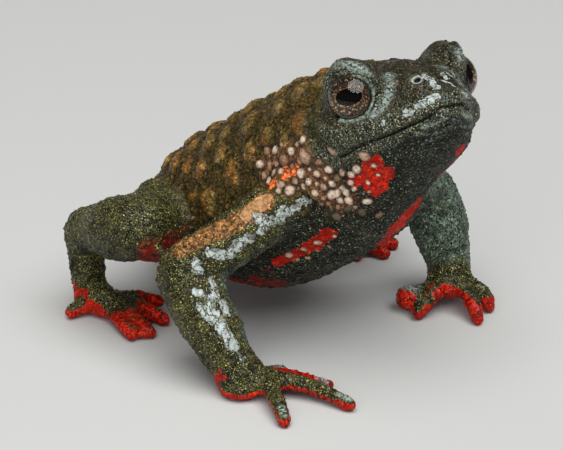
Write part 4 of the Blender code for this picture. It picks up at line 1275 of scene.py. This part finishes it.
def iris_material(groups):
    """Black-brown with fine copper and gold flecks, thickest round the pupil."""
    material, make, shader = new_material("toad_iris")
    place = make.group(groups["place"], {})["Place"]
    share = make.attribute("from_pupil")
    gold = make.mixed(make.patches(place, 6.0, 0.42, 0.58), *IRIS_FLECKS)
    colour = make.mixed(make.patches(place, 10.0, 0.6, 0.64, detail=1.0), IRIS_BLACK, gold)
    ring = make.times(make.ranged(share, 0.22, 0.04), make.patches(place, 9.0, 0.53, 0.57, detail=1.0))
    colour = make.mixed(ring, colour, PUPIL_RING)
    outer = make.times(make.band(share, 0.8, 0.83, 0.86, 0.89), 0.35)
    colour = make.mixed(outer, colour, OUTER_RING)
    rim = make.larger(make.ranged(share, 0.88, 0.94), make.ranged(share, 0.03, -0.1))
    colour = make.mixed(rim, colour, IRIS_RIM)
    make.fill(shader, {"Base Color": colour, "Roughness": 0.5, "Specular IOR Level": 0.2})
    return material


def pupil_material():
    """Black and without any shine of its own."""
    material, make, shader = new_material("toad_pupil")
    make.fill(shader, {"Base Color": (0.001,) * 3, "Roughness": 1.0, "Specular IOR Level": 0.0})
    return material


def cornea_material():
    """Clear, and lets the lights straight through to the iris."""
    material, make, shader = new_material("toad_cornea")
    shadow = make.node("ShaderNodeLightPath").outputs["Is Shadow Ray"]
    make.fill(shader, {
        "Base Color": (1.0,) * 3, "Roughness": 0.0, "IOR": 1.4, "Transmission Weight": 1.0,
        "Alpha": make.maths("SUBTRACT", 1.0, shadow),
    })
    return material


# Floor, lights and camera

FLOOR_HALF = 0.6                # half the floor's width, in metres


def make_floor():
    data = bpy.data.meshes.new("floor")
    corners = [(x * FLOOR_HALF, y * FLOOR_HALF, 0) for x, y in ((-1, -1), (1, -1), (1, 1), (-1, 1))]
    data.from_pydata(corners, [], [(0, 1, 2, 3)])
    floor = link("floor", data)
    material, make, shader = new_material("pale_floor")
    make.fill(shader, {"Base Color": (0.46, 0.45, 0.43), "Roughness": 0.8})
    data.materials.append(material)


def area_light(name, place, aim, size, power):
    lamp = bpy.data.lights.new(name, "AREA")
    lamp.shape = "DISK"
    lamp.size = size
    lamp.energy = power
    lamp.color = (0.95, 0.98, 1.0)
    thing = bpy.data.objects.new(name, lamp)
    thing.location = place
    thing.rotation_euler = (Vector(aim) - Vector(place)).to_track_quat("-Z", "Y").to_euler()
    bpy.context.scene.collection.objects.link(thing)
    return thing


CAMERA_AZIMUTH, CAMERA_ELEVATION = math.radians(45), math.radians(25)
CAMERA_DISTANCE = 180.0
CAMERA_AIM = (-3.7, 6.4)        # right of and above the modelling frame's origin, in the camera's view
PIXELS_PER_MM, PHOTO_WIDTH = 18.2, 563


def make_camera():
    back = np.array((
        math.sin(CAMERA_AZIMUTH) * math.cos(CAMERA_ELEVATION),
        -math.cos(CAMERA_AZIMUTH) * math.cos(CAMERA_ELEVATION),
        math.sin(CAMERA_ELEVATION),
    ))
    right = np.array((math.cos(CAMERA_AZIMUTH), math.sin(CAMERA_AZIMUTH), 0.0))
    up = np.cross(back, right)
    aim = right * CAMERA_AIM[0] + up * CAMERA_AIM[1] - BOX_MIDDLE
    lens = bpy.data.cameras.new("camera")
    lens.sensor_width = 36.0
    lens.lens = PIXELS_PER_MM * CAMERA_DISTANCE * lens.sensor_width / PHOTO_WIDTH
    lens.clip_start = 0.01
    lens.clip_end = 5.0
    camera = bpy.data.objects.new("camera", lens)
    camera.matrix_world = (
        Matrix.Translation(Vector((aim + back * CAMERA_DISTANCE) * MM))
        @ Matrix(np.stack([right, up, back], axis=1).tolist()).to_4x4()
    )
    bpy.context.scene.collection.objects.link(camera)
    bpy.context.scene.camera = camera


LIGHTS_AIM = (0.002, -0.001, 0.009)
LAMPS = [                        # name, place, size, power, and whether it shows in reflections
    ("key", (0.1, -0.045, 0.28), 0.36, 1.6, True),
    ("fill", (0.12, -0.28, 0.12), 0.3, 0.5, False),
    ("back_light", (-0.28, 0.02, 0.2), 0.2, 0.15, False),
]


def make_light():
    for name, place, size, power, in_reflections in LAMPS:
        lamp = area_light(name, place, LIGHTS_AIM, size, power)
        lamp.visible_glossy = in_reflections
    world = bpy.data.worlds.new("studio")
    world.use_nodes = True
    world.node_tree.nodes["Background"].inputs["Color"].default_value = (1.0, 0.98, 0.95, 1.0)
    world.node_tree.nodes["Background"].inputs["Strength"].default_value = 0.12
    bpy.context.scene.world = world
    bpy.context.scene.view_settings.view_transform = "Standard"


def build():
    groups = {
        "place": millimetre_group(), "granules": granule_group(), "edge": broken_edge_group(),
        "speckle": speckle_group(), "creases": crease_group(),
    }
    skin = make_skin()
    warty = skin_material(groups)
    skin.data.materials.clear()
    skin.data.materials.append(warty)
    granules = scatter_granules(skin, warty)
    for piece in (skin, granules):
        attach(piece, "root")
    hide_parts(*FLESH)
    iris, pupil, clear = iris_material(groups), pupil_material(), cornea_material()
    for side in ("left", "right"):
        ball, front = eyeball(side), cornea(side)
        ball.data.materials.append(iris)
        ball.data.materials.append(pupil)
        front.data.materials.append(clear)
        for piece in (ball, front):
            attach(piece, "root")
        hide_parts(side + "_eye")
    make_floor()
    make_light()
    make_camera()


build()
